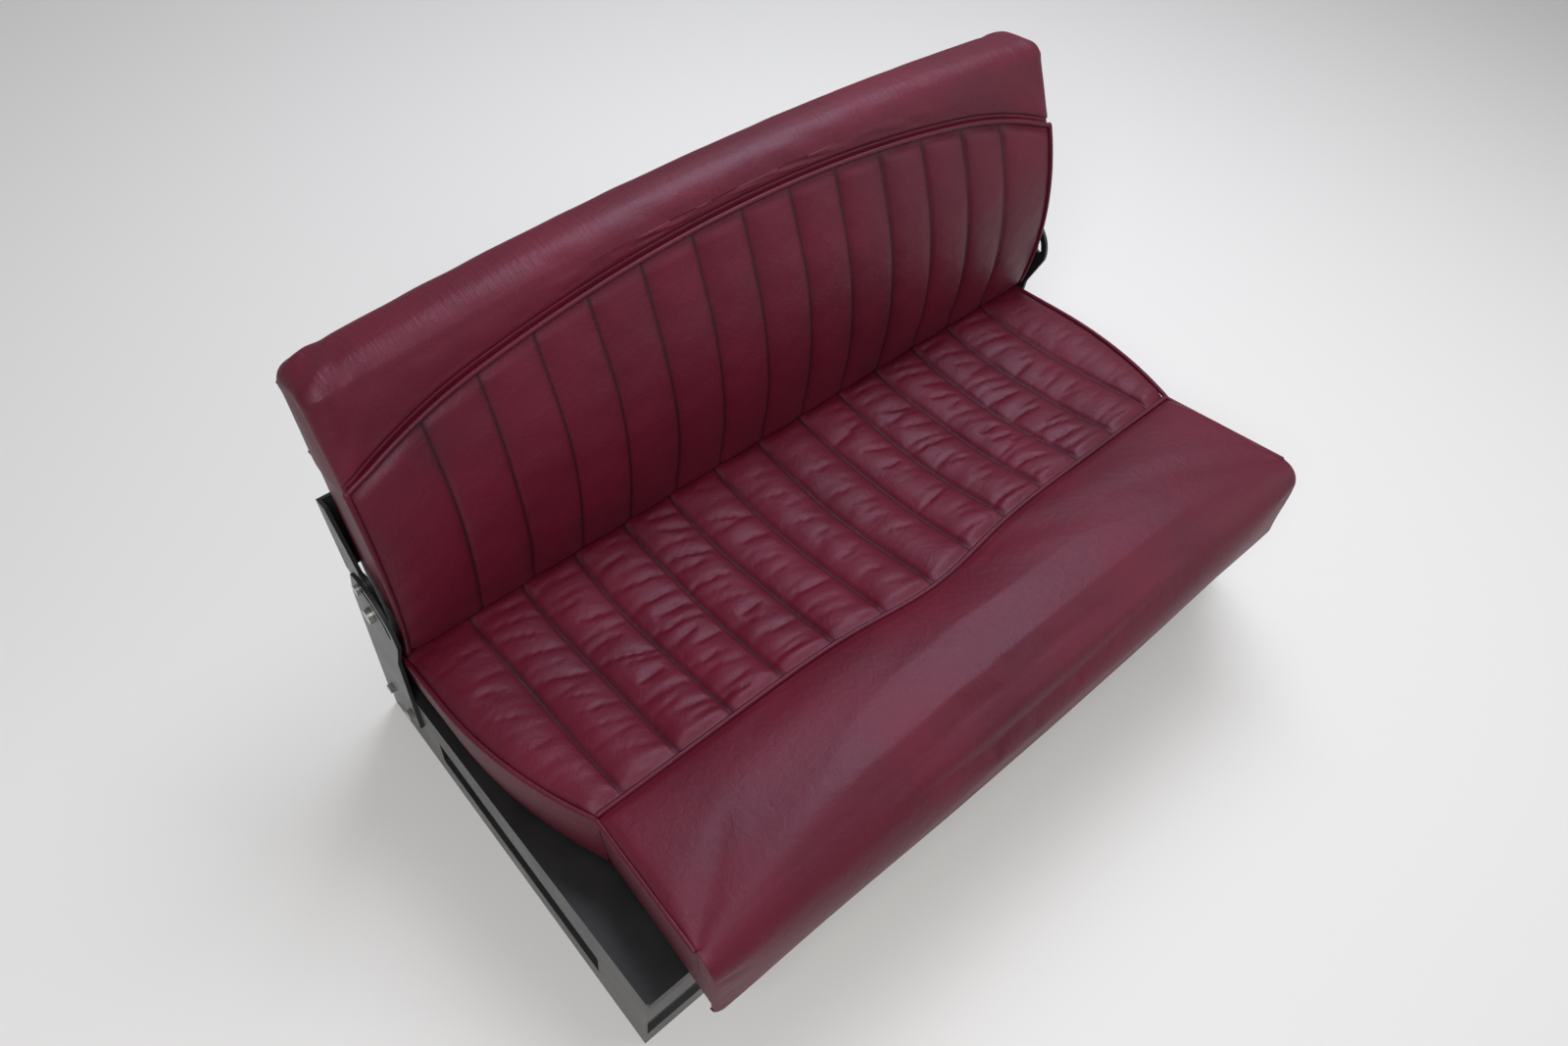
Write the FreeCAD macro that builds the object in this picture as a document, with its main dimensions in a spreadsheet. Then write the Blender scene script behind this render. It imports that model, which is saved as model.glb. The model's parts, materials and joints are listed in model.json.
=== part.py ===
import FreeCAD, Part
import math
import os
from types import SimpleNamespace

import Sketcher

# Rear bench seat of a small open car: a fluted leather cushion on a pressed-steel
# seat base, and a fluted leather squab that folds forward over the cushion.
# Millimetres. +X is the viewer's right, +Y runs to the rear, +Z is up.
# The origin is the centre of the four floor bolts, on the floor.

os.makedirs("parts", exist_ok=True)
V = FreeCAD.Vector

# Driving dimensions: alias, value, meaning.
SIZES = [
    ("seat_tilt", 10.0, "cushion top rises to the front, degrees"),
    ("back_recline", 12.9, "squab leans back from upright, degrees"),
    ("pan_tilt", 5.0, "seat pan rises to the front, degrees"),
    ("fold_angle", 90.0, "squab folds forward, degrees"),
    ("base_length", 580.0, "seat base, front to rear"),
    ("crease_ahead", 100.0, "where squab and cushion meet, ahead of the base's rear"),
    ("crease_z", 250.0, "where squab and cushion meet, above the floor"),
    ("flute_count", 14.0, "flutes across cushion and squab"),
    ("flute_depth", 7.0, "seam below the crest of a flute"),
    ("flute_flat", 8.0, "flat left on the crest of a flute"),
    ("back_half", 556.0, "squab half width"),
    ("back_outer_flute", 100.0, "outermost flute of the squab"),
    ("seat_outer_flute", 89.2, "outermost flute of the cushion, at its rear"),
    ("seat_overhang", 6.0, "cushion's rear wider than the squab, each side"),
    ("waist_in", 51.0, "cushion narrows towards the cross piping, each side"),
    ("front_flare", 12.0, "cushion widens ahead of the cross piping, each side"),
    ("seat_straight", 70.0, "straight side of the cushion ahead of the crease"),
    ("seat_flute_len", 318.0, "crease to cross piping"),
    ("seat_length", 534.0, "crease to the front of the cushion"),
    ("seat_tail", 84.0, "cushion behind the crease, under the squab"),
    ("seat_tail_drop", 26.0, "fall of the cushion tail"),
    ("seat_tail_bow", 8.5, "bow of the cushion tail"),
    ("seat_sag", 12.0, "dish of the fluted top"),
    ("seat_crown", 7.0, "crown of the front roll"),
    ("seat_nose_r", 30.0, "radius of the cushion's front edge"),
    ("seat_toe", 26.0, "undercut of the cushion's front face"),
    ("board_thick", 9.0, "plywood boards"),
    ("board_inset", 14.0, "cushion board inside the cushion outline"),
    ("vent_count", 6.0, "vent holes across the cushion board"),
    ("vent_edge", 111.0, "outer vent hole in from the cushion's waist"),
    ("vent_r", 15.0, "vent hole radius"),
    ("piping_r", 3.0, "piping bead radius"),
    ("soft_gap", 0.3, "gap between soft pieces"),
    ("notch", 7.0, "chamfer where two panels meet at piping"),
    ("upper_face_lean", 13.2, "squab's upper face leans back further, degrees"),
    ("back_top_up", 432.0, "squab height at the centre"),
    ("corner_drop", 26.0, "squab lower at its corners than at the centre"),
    ("border_height", 49.0, "plain border above the arch, at the centre"),
    ("knee_drop", 35.0, "arch lower at its knees than at the centre"),
    ("arch_end_drop", 59.0, "arch lower at the squab's sides than at its knees"),
    ("lip_height", 18.0, "border wraps over the back board, at the corners"),
    ("back_depth", 77.0, "squab pad behind the chord of its face"),
    ("back_top_r", 26.0, "radius of the squab's top edges"),
    ("pivot_back", 30.0, "hinge axis behind the chord of the squab's face"),
    ("pivot_up", 75.0, "hinge axis above the crease, along the squab"),
    ("foot_r", 66.0, "squab's foot, round about the hinge axis"),
    ("pivot_r", 6.0, "hinge pin radius"),
    ("pivot_head_r", 10.0, "hinge pin head radius"),
    ("pivot_head", 6.0, "hinge pin head height"),
    ("washer_r", 11.0, "washer between hinge arm and bracket"),
    ("pin_play", 0.2, "play of a pin in its hole"),
    ("plate_thick", 5.0, "hinge arm and bracket plate"),
    ("plate_gap", 3.0, "washer between arm and bracket"),
    ("arm_gap", 6.0, "hinge arm off the squab's side"),
    ("boss_r", 16.0, "round end of the hinge arm"),
    ("stop_boss_r", 13.0, "round end of the hinge arm at the stop pin"),
    ("stop_radius", 46.0, "stop pin from the hinge axis"),
    ("stop_r", 4.0, "stop pin radius"),
    ("stop_head_r", 7.0, "stop pin head radius"),
    ("stop_play", 0.5, "play of the stop pin in its slot"),
    ("bracket_r", 60.0, "quadrant of the hinge bracket"),
    ("bracket_rear", 42.0, "bracket plate behind the hinge axis"),
    ("bracket_lead", 15.0, "quadrant past the ends of the stop slot, degrees"),
    ("strap_reach", 90.0, "hinge arm's strap across the back board"),
    ("strap_height", 110.0, "hinge arm's strap, height"),
    ("strap_low", 105.0, "hinge arm's strap, lower edge up the squab"),
    ("strap_edge", 18.0, "bolts in from a plate's edge"),
    ("strap_corner_r", 11.0, "hinge arm's strap, inner corners"),
    ("board_corner_r", 20.0, "back board, lower corners"),
    ("bolt_r", 4.0, "shank radius of the M8 bolts"),
    ("bolt_head_r", 7.5, "head radius of the M8 bolts, over the corners"),
    ("bolt_head", 5.3, "head height of the M8 bolts"),
    ("sheet", 3.0, "pressed sheet thickness"),
    ("flange", 32.0, "turned flanges of the base"),
    ("side_lip", 19.0, "turned upper flange of the side panels"),
    ("pan_below_crease", 100.0, "seat pan below the crease"),
    ("pan_lip", 34.0, "upturned lip behind the cushion"),
    ("pan_skirt", 16.0, "downturned lip over the heelboard"),
    ("rib_count", 9.0, "swages in the seat pan"),
    ("rib_edge", 127.0, "outer swage in from the side panel"),
    ("rib_width", 40.0, "swage width"),
    ("rib_depth", 7.0, "swage depth"),
    ("rib_end", 90.0, "swage ends in from the base's ends"),
    ("swage_low", 0.28, "lower edge of the wall swages, part of the pan's height"),
    ("swage_high", 0.68, "upper edge of the wall swages, part of the pan's height"),
    ("swage_depth", 6.0, "depth of the wall swages"),
    ("bracket_foot", 0.52, "lower end of the hinge bracket, part of the pan's height"),
    ("floor_hole_in", 65.0, "floor bolts in from the base's ends"),
    ("floor_hole_r", 4.5, "floor bolt hole radius"),
]

doc = FreeCAD.newDocument("rear_bench_seat")
sheet = doc.addObject("Spreadsheet::Sheet", "Sizes")
for row, (alias, value, meaning) in enumerate(SIZES, start=1):
    sheet.set("A%d" % row, str(value))
    sheet.setAlias("A%d" % row, alias)
    sheet.set("B%d" % row, meaning)
doc.recompute()


class Size:
    """A number that remembers the sheet expression it comes from."""

    def __init__(self, value, text):
        self.value = value
        self.text = text

    def __add__(self, other):
        other = as_size(other)
        return Size(self.value + other.value, "(%s + %s)" % (self.text, other.text))

    def __sub__(self, other):
        other = as_size(other)
        return Size(self.value - other.value, "(%s - %s)" % (self.text, other.text))

    def __mul__(self, other):
        other = as_size(other)
        return Size(self.value * other.value, "(%s * %s)" % (self.text, other.text))

    def __truediv__(self, other):
        other = as_size(other)
        return Size(self.value / other.value, "(%s / %s)" % (self.text, other.text))

    def __neg__(self):
        return Size(-self.value, "(0 - %s)" % self.text)

    def __rsub__(self, other):
        return as_size(other) - self

    __radd__ = __add__
    __rmul__ = __mul__


def as_size(number):
    return number if isinstance(number, Size) else Size(float(number), "%.6f" % number)


def sin_of(angle):
    return Size(math.sin(math.radians(angle.value)), "sin(%s)" % angle.text)


def cos_of(angle):
    return Size(math.cos(math.radians(angle.value)), "cos(%s)" % angle.text)


def tan_of(angle):
    return Size(math.tan(math.radians(angle.value)), "tan(%s)" % angle.text)


def root_of(number):
    return Size(math.sqrt(number.value), "sqrt(%s)" % number.text)


def angle_of_sin(number):
    """Degrees, as a plain number."""
    return Size(math.degrees(math.asin(number.value)), "(asin(%s) / 1 deg)" % number.text)


def angle_of_tan(number):
    """Degrees, as a plain number."""
    return Size(math.degrees(math.atan(number.value)), "(atan(%s) / 1 deg)" % number.text)


S = SimpleNamespace(**{a: Size(v, "Sizes." + a) for a, v, _ in SIZES})

# Sizes that follow from the driving ones.
base_half_length = S.base_length / 2
crease_y = base_half_length - S.crease_ahead
pan_z = S.crease_z - S.pan_below_crease
seat_half_rear = S.back_half + S.seat_overhang
seat_half_waist = seat_half_rear - S.waist_in
flute_gaps = S.flute_count - 2
back_flute_pitch = (S.back_half - S.back_outer_flute) * 2 / flute_gaps
seat_flute_pitch = (seat_half_rear - S.seat_outer_flute) * 2 / flute_gaps
back_corner_up = S.back_top_up - S.corner_drop
back_lip_up = back_corner_up - S.lip_height
arch_top_up = S.back_top_up - S.border_height
arch_knee_up = arch_top_up - S.knee_drop
arch_end_up = arch_knee_up - S.arch_end_drop
arch_knee_x = back_flute_pitch * 5

# Waste cut away round a blank, and how near a picked edge is to its place.
WASTE = 60.0
NEAR = 0.1


# Construction helpers.

def bind(thing, prop, number):
    thing.setExpression(prop, as_size(number).text)


def new_body(label, place=(0, 0, 0), tilt=0):
    """A body whose own frame stands at place, leaning back by tilt degrees."""
    body = doc.addObject("PartDesign::Body", label)
    body.Label = label
    place = [as_size(p) for p in place]
    tilt = as_size(tilt)
    turn = FreeCAD.Rotation(V(1, 0, 0), -tilt.value)
    body.Placement = FreeCAD.Placement(V(*[p.value for p in place]), turn)
    for axis, number in zip("xyz", place):
        bind(body, "Placement.Base." + axis, number)
    bind(body, "Placement.Rotation.Angle", -tilt)
    return body


def new_sketch(body, name, plane, offset=0):
    """A sketch on one of the body's own planes, offset along the plane's normal."""
    sketch = body.newObject("Sketcher::SketchObject", name)
    support = [f for f in body.Origin.OriginFeatures if f.Role == plane + "_Plane"][0]
    sketch.AttachmentSupport = (support, [""])
    sketch.MapMode = "FlatFace"
    offset = as_size(offset)
    sketch.AttachmentOffset = FreeCAD.Placement(V(0, 0, offset.value), FreeCAD.Rotation())
    bind(sketch, "AttachmentOffset.Base.z", offset)
    return sketch


def pin_point(sketch, geo, pos, point):
    """Ties a point of the sketch to the two sizes that place it."""
    for kind, number in zip(("DistanceX", "DistanceY"), point):
        number = as_size(number)
        index = sketch.addConstraint(Sketcher.Constraint(kind, -1, 1, geo, pos, number.value))
        bind(sketch, "Constraints[%d]" % index, number)


def flat(point):
    return V(as_size(point[0]).value, as_size(point[1]).value, 0)


def outline(sketch, start, steps, closed=True):
    """Draws steps from start onwards.

    ("to", x, y) is a line and ("by", x, y, x, y) an arc through a point. ("on", x, y) is
    an arc that runs on from the step before, ("into", x, y) one that runs into the next.
    """
    here, last = start, None
    for count, step in enumerate(steps):
        kind, end = step[0], step[-2:]
        if kind == "to":
            geo = sketch.addGeometry(Part.LineSegment(flat(here), flat(end)), False)
            tail, head = 1, 2
        else:
            if kind == "by":
                via = flat(step[1:3])
            elif kind == "on":
                via = arc_middle(flat(here), flat(end), heading(before, steps[count - 1], True))
            else:
                via = arc_middle(flat(end), flat(here), -heading(end, steps[count + 1], False))
            geo = sketch.addGeometry(Part.Arc(flat(here), via, flat(end)), False)
            ends = [sketch.getPoint(geo, 1), sketch.getPoint(geo, 2)]
            forward = (ends[0] - flat(here)).Length < (ends[1] - flat(here)).Length
            tail, head = (1, 2) if forward else (2, 1)
        if kind == "by":
            mark = sketch.addGeometry(Part.Point(via), True)
            pin_point(sketch, mark, 1, step[1:3])
            sketch.addConstraint(Sketcher.Constraint("PointOnObject", mark, 1, geo))
        if last is None:
            pin_point(sketch, geo, tail, here)
            opening = (geo, tail)
        else:
            smooth = kind == "on" or steps[count - 1][0] == "into"
            joint = "Tangent" if smooth else "Coincident"
            sketch.addConstraint(Sketcher.Constraint(joint, last[0], last[1], geo, tail))
        last = (geo, head)
        before, here = here, end
        if not (closed and count == len(steps) - 1):
            pin_point(sketch, geo, head, end)
    if closed:
        sketch.addConstraint(Sketcher.Constraint("Coincident", last[0], last[1], *opening))
    if sketch.solve() != 0:
        raise RuntimeError("sketch %s does not solve" % sketch.Name)


def heading(start, step, at_end):
    """Direction of travel at one end of a line or of an arc through a point."""
    start, end = flat(start), flat(step[-2:])
    if step[0] == "to":
        return end - start
    via = flat(step[1:3])
    spoke = (end if at_end else start) - Part.Arc(start, via, end).toShape().Curve.Center
    side = 1 if (via - start).cross(end - via).z > 0 else -1
    return V(-spoke.y, spoke.x, 0) * side


def arc_middle(start, end, run):
    """Middle of the arc that leaves start in the direction run and reaches end."""
    chord = end - start
    turn_by = math.atan2(run.cross(chord).z, run.dot(chord))
    return start + chord / 2 + V(chord.y, -chord.x, 0) / 2 * math.tan(turn_by / 2)


def box(sketch, low, high):
    """A rectangle between two corners."""
    outline(sketch, low, [("to", high[0], low[1]), ("to", high[0], high[1]),
                          ("to", low[0], high[1]), ("to", low[0], low[1])])


def circle(sketch, centre, radius):
    radius = as_size(radius)
    geo = sketch.addGeometry(Part.Circle(flat(centre), V(0, 0, 1), radius.value), False)
    pin_point(sketch, geo, 3, centre)
    index = sketch.addConstraint(Sketcher.Constraint("Radius", geo, radius.value))
    bind(sketch, "Constraints[%d]" % index, radius)


def polygon(sketch, centre, radius, sides):
    """A regular polygon with a corner at each multiple of its step, the first along the H axis."""
    corners = []
    for number in range(sides):
        angle = as_size(360.0 / sides * number)
        corners.append((centre[0] + radius * cos_of(angle), centre[1] + radius * sin_of(angle)))
    outline(sketch, corners[0], [("to",) + c for c in corners[1:] + corners[:1]])


def bead_section(sketch, centre):
    """Section of a piping bead: eight-sided, which keeps the meshed bead light."""
    polygon(sketch, centre, S.piping_r, 8)


def pad(body, sketch, length, both=False, back=False):
    """Extrudes a sketch; both is half to each side, back is against the normal."""
    feature = body.newObject("PartDesign::Pad", sketch.Name + "_pad")
    feature.Profile = sketch
    feature.SideType = "Symmetric" if both else "One side"
    feature.Reversed = back
    bind(feature, "Length", length)
    return feature


def cut(body, sketch, length, both=False, back=False):
    """Cuts a sketch into the body and makes sure that it removed something."""
    doc.recompute()
    before = body.Shape.Volume
    feature = body.newObject("PartDesign::Pocket", sketch.Name + "_cut")
    feature.Profile = sketch
    feature.SideType = "Symmetric" if both else "One side"
    feature.Reversed = back
    bind(feature, "Length", length)
    doc.recompute()
    if body.Shape.Volume > before - 1.0:
        raise RuntimeError("%s cuts nothing" % feature.Name)
    return feature


def hub_sketch(body, name, plane, hub, about, angle):
    """A sketch with its origin on a hub, turned by angle about its H or V axis."""
    sketch = new_sketch(body, name, plane, hub[2])
    angle = as_size(angle)
    base = V(*[as_size(number).value for number in hub])
    sketch.AttachmentOffset = FreeCAD.Placement(base, FreeCAD.Rotation(V(*about), angle.value))
    bind(sketch, "AttachmentOffset.Base.x", hub[0])
    bind(sketch, "AttachmentOffset.Base.y", hub[1])
    bind(sketch, "AttachmentOffset.Rotation.Angle", angle)
    return sketch


def turn(body, sketch, axis, angle, back=False, remove=False):
    """Turns a sketch about its own H_Axis or V_Axis; a groove must remove something."""
    doc.recompute()
    before = body.Shape.Volume if remove else 0
    kind = "PartDesign::Groove" if remove else "PartDesign::Revolution"
    feature = body.newObject(kind, sketch.Name + "_turn")
    feature.Profile = sketch
    feature.ReferenceAxis = (sketch, [axis])
    feature.Reversed = back
    bind(feature, "Angle", angle)
    doc.recompute()
    if remove and body.Shape.Volume > before - 1.0:
        raise RuntimeError("%s cuts nothing" % feature.Name)
    return feature


def row_of(body, features, length, count):
    """Repeats features along X."""
    pattern = body.newObject("PartDesign::LinearPattern", features[0].Name + "_row")
    pattern.Originals = features
    axis = [f for f in body.Origin.OriginFeatures if f.Role == "X_Axis"][0]
    pattern.Direction = (axis, [""])
    bind(pattern, "Length", length)
    bind(pattern, "Occurrences", count)
    body.Tip = pattern
    doc.recompute()
    return pattern


def both_sides(body, features):
    """Mirrors features across the seat's middle plane."""
    mirror = body.newObject("PartDesign::Mirrored", features[0].Name + "_mirror")
    mirror.Originals = features
    plane = [f for f in body.Origin.OriginFeatures if f.Role == "YZ_Plane"][0]
    mirror.MirrorPlane = (plane, [""])
    body.Tip = mirror
    doc.recompute()
    return mirror


def fillet(body, radius, wanted):
    """Rounds the edges that wanted() picks by their middle point and direction."""
    doc.recompute()
    base = body.Tip
    names = []
    for number, edge in enumerate(base.Shape.Edges, start=1):
        middle = edge.valueAt((edge.FirstParameter + edge.LastParameter) / 2)
        run = edge.tangentAt((edge.FirstParameter + edge.LastParameter) / 2)
        if wanted(middle, run, edge):
            names.append("Edge%d" % number)
    feature = body.newObject("PartDesign::Fillet", base.Name + "_round")
    feature.Base = (base, names)
    bind(feature, "Radius", radius)
    doc.recompute()
    return feature


def left_of(body, label):
    """The left-hand twin of a right-hand piece."""
    twin = doc.addObject("Part::Mirroring", label)
    twin.Label = label
    twin.Source = body
    twin.Normal = V(1, 0, 0)
    return twin


kept = []


def keep(thing):
    kept.append(thing)
    return thing


# Frames that several pieces share.
crease = (0, crease_y, S.crease_z)
pan_place = (0, crease_y, pan_z)
lean_sin = sin_of(S.back_recline)
lean_cos = cos_of(S.back_recline)


def on_squab(back, up):
    """World place of a point given behind the squab's chord and up along it."""
    return (0, crease_y + back * lean_cos + up * lean_sin,
            S.crease_z - back * lean_sin + up * lean_cos)


pivot = on_squab(S.pivot_back, S.pivot_up)
arm_in = S.back_half + S.arm_gap
arm_out = arm_in + S.plate_thick
bracket_in = arm_out + S.plate_gap
bracket_out = bracket_in + S.plate_thick
base_half = bracket_in
side_in = base_half - S.sheet
bracket_foot = pan_z * S.bracket_foot
half_root = math.sqrt(0.5)
bead_rise = (S.piping_r + S.soft_gap) / half_root - S.notch


# Cushion. Its own frame: origin on the crease, -Y along the cushion top to the front.

def seat_bottom(y):
    """Underside of the cushion pads, one board above the seat pan."""
    rise = S.seat_tilt - S.pan_tilt
    return y * tan_of(rise) + (S.board_thick - S.pan_below_crease * cos_of(S.pan_tilt)) / cos_of(rise)


def mirror_steps(start, steps):
    """The same outline walked back on the other side of X = 0."""
    reverse = {"to": "to", "by": "by", "on": "into", "into": "on"}
    points = [start] + [s[-2:] for s in steps]
    back = []
    for index in range(len(steps) - 1, -1, -1):
        step, end = steps[index], points[index]
        via = (-as_size(step[1]), step[2]) if step[0] == "by" else ()
        back.append((reverse[step[0]],) + via + (-as_size(end[0]), end[1]))
    return back


seat_along = S.seat_flute_len - S.seat_straight
seat_side_r = (S.waist_in * S.waist_in + seat_along * seat_along) / (S.waist_in * 2)
seat_side_hub = seat_half_rear - seat_side_r
seat_widening = S.front_flare / (S.seat_length - S.seat_flute_len)


def waist_x(out):
    """The cushion's side at the cross piping, moved outwards by out."""
    reach = seat_side_r + out
    return seat_side_hub + root_of(reach * reach - seat_along * seat_along)


def seat_side_steps(out, rear, front):
    """One side of the cushion seen from above, moved outwards by out."""
    return [
        ("to", seat_half_rear + out, rear),
        ("to", seat_half_rear + out, -S.seat_straight),
        ("on", waist_x(out), -S.seat_flute_len),
        ("to", waist_x(out) + seat_widening * (front - S.seat_flute_len), -front),
    ]


def trim_to_plan(body, name, inset, rear, front, depth):
    """Cuts away all that lies outside the cushion's outline seen from above."""
    plan = new_sketch(body, name, "XY")
    half = seat_half_rear + WASTE
    box(plan, (-half, -(S.seat_length + WASTE)), (half, S.seat_tail + WASTE))
    start = (as_size(0), rear)
    steps = seat_side_steps(-as_size(inset), rear, front)
    steps.append(("to", as_size(0), -front))
    steps += mirror_steps(start, steps)
    outline(plan, start, steps)
    cut(body, plan, depth, both=True)


def flute_valley(sketch, x, rise, pitch, deep):
    """The valley between two flutes, two flats each side of the seam; deep is +1 or -1."""
    reach = (pitch - S.flute_flat) / 2
    radius = (reach * reach + S.flute_depth * S.flute_depth) / (S.flute_depth * 2)
    bend = (radius - root_of(radius * radius - reach * reach / 4)) * deep
    lid = rise - S.flute_depth * 2 * deep
    outline(sketch, (x - reach, rise), [
        ("to", x - reach / 2, rise + bend),
        ("to", x, rise + S.flute_depth * deep),
        ("to", x + reach / 2, rise + bend),
        ("to", x + reach, rise),
        ("to", x + reach, lid),
        ("to", x - reach, lid),
        ("to", x - reach, rise),
    ])


full_depth = S.crease_z * 4


def cushion_fluted_pad():
    body = new_body("cushion_fluted_pad", crease, S.seat_tilt)
    side = new_sketch(body, "seat_side", "YZ")
    front, tail = -S.seat_flute_len, S.seat_tail
    half = (S.seat_flute_len - S.notch) / 2
    outline(side, (as_size(0), as_size(0)), [
        ("by", -half, -S.seat_sag, front + S.notch, as_size(0)),
        ("to", front, -S.notch),
        ("to", front, seat_bottom(front)),
        ("to", tail, seat_bottom(tail)),
        ("to", tail, -S.seat_tail_drop),
        ("by", tail / 2, S.seat_tail_bow - S.seat_tail_drop / 2, as_size(0), as_size(0)),
    ])
    pad(body, side, (seat_half_rear + WASTE) * 2, both=True)
    trim_to_plan(body, "seat_plan", 0, S.seat_tail + WASTE / 2, S.seat_length, full_depth)
    radius = (half * half + S.seat_sag * S.seat_sag) / (S.seat_sag * 2)
    swing = angle_of_sin(half / radius)
    hub = (as_size(0), radius - S.seat_sag, half)
    section = hub_sketch(body, "seat_flute", "XZ", hub, (1, 0, 0), swing)
    flute_valley(section, -seat_flute_pitch * flute_gaps / 2, -radius, seat_flute_pitch, -1)
    past = angle_of_sin(S.notch * 2 / radius)
    valley = turn(body, section, "H_Axis", swing * 2 + past, back=True, remove=True)
    row_of(body, [valley], seat_flute_pitch * flute_gaps, flute_gaps + 1)
    return keep(body)


def cushion_front_roll():
    body = new_body("cushion_front_roll", crease, S.seat_tilt)
    side = new_sketch(body, "roll_side", "YZ")
    rear = -S.seat_flute_len - S.soft_gap
    front, nose = -S.seat_length, S.seat_nose_r
    fall = S.seat_crown / 2
    toe = S.seat_toe
    outline(side, (rear, -S.notch), [
        ("to", rear - S.notch, as_size(0)),
        ("by", (rear + front + nose) / 2, S.seat_crown, front + nose, -fall),
        ("by", front + nose * (1 - half_root), -fall - nose * (1 - half_root), front, -fall - nose),
        ("to", front + toe / 3, seat_bottom(front) + toe),
        ("to", front + toe, seat_bottom(front + toe)),
        ("to", rear, seat_bottom(rear)),
        ("to", rear, -S.notch),
    ])
    pad(body, side, (seat_half_rear + WASTE) * 2, both=True)
    trim_to_plan(body, "roll_plan", 0, S.seat_tail, S.seat_length + WASTE / 2, full_depth)
    return keep(body)


def cushion_board():
    body = new_body("cushion_board", pan_place, S.pan_tilt)
    plan = new_sketch(body, "board_blank", "XY")
    front = S.seat_length - S.seat_toe - S.board_inset
    box(plan, (-seat_half_rear, -front), (seat_half_rear, S.seat_tail))
    pad(body, plan, S.board_thick)
    trim_to_plan(body, "board_plan", S.board_inset, S.seat_tail + WASTE / 2, S.seat_length, full_depth)
    vents = new_sketch(body, "board_vent", "XY")
    reach = seat_half_waist - S.vent_edge
    circle(vents, (-reach, -S.seat_flute_len / 2), S.vent_r)
    hole = cut(body, vents, S.board_thick * 2, both=True)
    row_of(body, [hole], reach * 2, S.vent_count)
    return keep(body)


def cushion_cross_piping():
    body = new_body("cushion_cross_piping", crease, S.seat_tilt)
    bead = new_sketch(body, "cross_bead", "YZ")
    bead_section(bead, (-S.seat_flute_len - S.soft_gap / 2, bead_rise))
    pad(body, bead, (seat_half_waist - S.soft_gap) * 2, both=True)
    return keep(body)


def cushion_side_piping():
    """The bead along the cushion's top edge, with its corner at the cross piping."""
    body = new_body("cushion_side_piping_right", crease, S.seat_tilt)
    out = S.piping_r + S.soft_gap
    bead = new_sketch(body, "edge_bead", "XZ")
    bead_section(bead, (seat_half_rear + out, -S.notch))
    pad(body, bead, S.seat_straight)
    hub = (seat_side_hub, as_size(0), S.seat_straight)
    bend = hub_sketch(body, "edge_bend", "XZ", hub, (0, 1, 0), 0)
    bead_section(bend, (seat_side_r + out, -S.notch))
    turn(body, bend, "V_Axis", angle_of_sin(seat_along / (seat_side_r + out)), back=True)
    overlap = S.piping_r / 2
    start = (waist_x(out), as_size(0), S.seat_flute_len - overlap)
    slant = angle_of_tan(seat_widening)
    ahead = hub_sketch(body, "front_edge_bead", "XZ", start, (0, 1, 0), slant)
    bead_section(ahead, (as_size(0), -S.notch))
    reach = S.seat_length - S.seat_nose_r - S.seat_flute_len
    pad(body, ahead, reach / cos_of(slant) + overlap)
    keep(body)
    keep(left_of(body, "cushion_side_piping_left"))


# Squab. Its own frame: origin on the crease, Z up along the chord of its face.

upper_slope = tan_of(S.upper_face_lean)
face_lean = (arch_top_up - arch_end_up) * upper_slope
foot_up = S.pivot_up - root_of(S.foot_r * S.foot_r - S.pivot_back * S.pivot_back)
foot_low = S.pivot_up - S.foot_r


face_rise = arch_end_up - foot_up
face_half_turn = S.upper_face_lean + angle_of_tan(face_lean / face_rise)
face_r = root_of(face_lean * face_lean + face_rise * face_rise) / (sin_of(face_half_turn) * 2)
face_hub = (as_size(0), face_r * cos_of(S.upper_face_lean) - face_lean,
            arch_end_up - face_r * sin_of(S.upper_face_lean))


def foot_via():
    """Middle of the foot's arc about the hinge axis."""
    y, z = -S.pivot_back, foot_up - S.pivot_up - S.foot_r
    far = root_of(y * y + z * z)
    return (S.pivot_back + S.foot_r * y / far, S.pivot_up + S.foot_r * z / far)


def face_at(up):
    """How far behind the chord the straight upper face lies."""
    return (up - arch_top_up) * upper_slope


def arch_steps(lift):
    """The arch from the squab's right side over to its left, raised by lift."""
    knee, end = arch_knee_up + lift, arch_end_up + lift
    return [
        ("into", arch_knee_x, knee),
        ("by", as_size(0), arch_top_up + lift, -arch_knee_x, knee),
        ("on", -S.back_half, end),
    ]


def squab_fluted_pad():
    body = new_body("squab_fluted_pad", crease, S.back_recline)
    side = new_sketch(body, "back_side", "YZ")
    over = arch_top_up + S.notch
    outline(side, (as_size(0), foot_up), [
        ("by",) + foot_via() + (S.pivot_back, foot_low),
        ("to", S.back_depth, foot_low),
        ("to", S.back_depth, over),
        ("to", face_at(over), over),
        ("to", -face_lean, arch_end_up),
        ("on", as_size(0), foot_up),
    ])
    pad(body, side, S.back_half * 2, both=True)
    front = new_sketch(body, "back_arch", "XZ")
    half, low = S.back_half, foot_low - WASTE
    box(front, (-half - WASTE, low - WASTE), (half + WASTE, over + WASTE))
    outline(front, (half, low), [("to", half, arch_end_up)] + arch_steps(0) + [
        ("to", -half, low),
        ("to", half, low),
    ])
    cut(body, front, full_depth, both=True)
    chamfer_arch(body)
    section = hub_sketch(body, "back_flute", "XY", face_hub, (1, 0, 0), -S.upper_face_lean)
    flute_valley(section, -back_flute_pitch * flute_gaps / 2, -face_r, back_flute_pitch, 1)
    valley = turn(body, section, "H_Axis", face_half_turn * 2, remove=True)
    upper = cut(body, section, (over - arch_end_up) / cos_of(S.upper_face_lean), back=True)
    row_of(body, [valley, upper], back_flute_pitch * flute_gaps, flute_gaps + 1)
    return keep(body)


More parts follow.
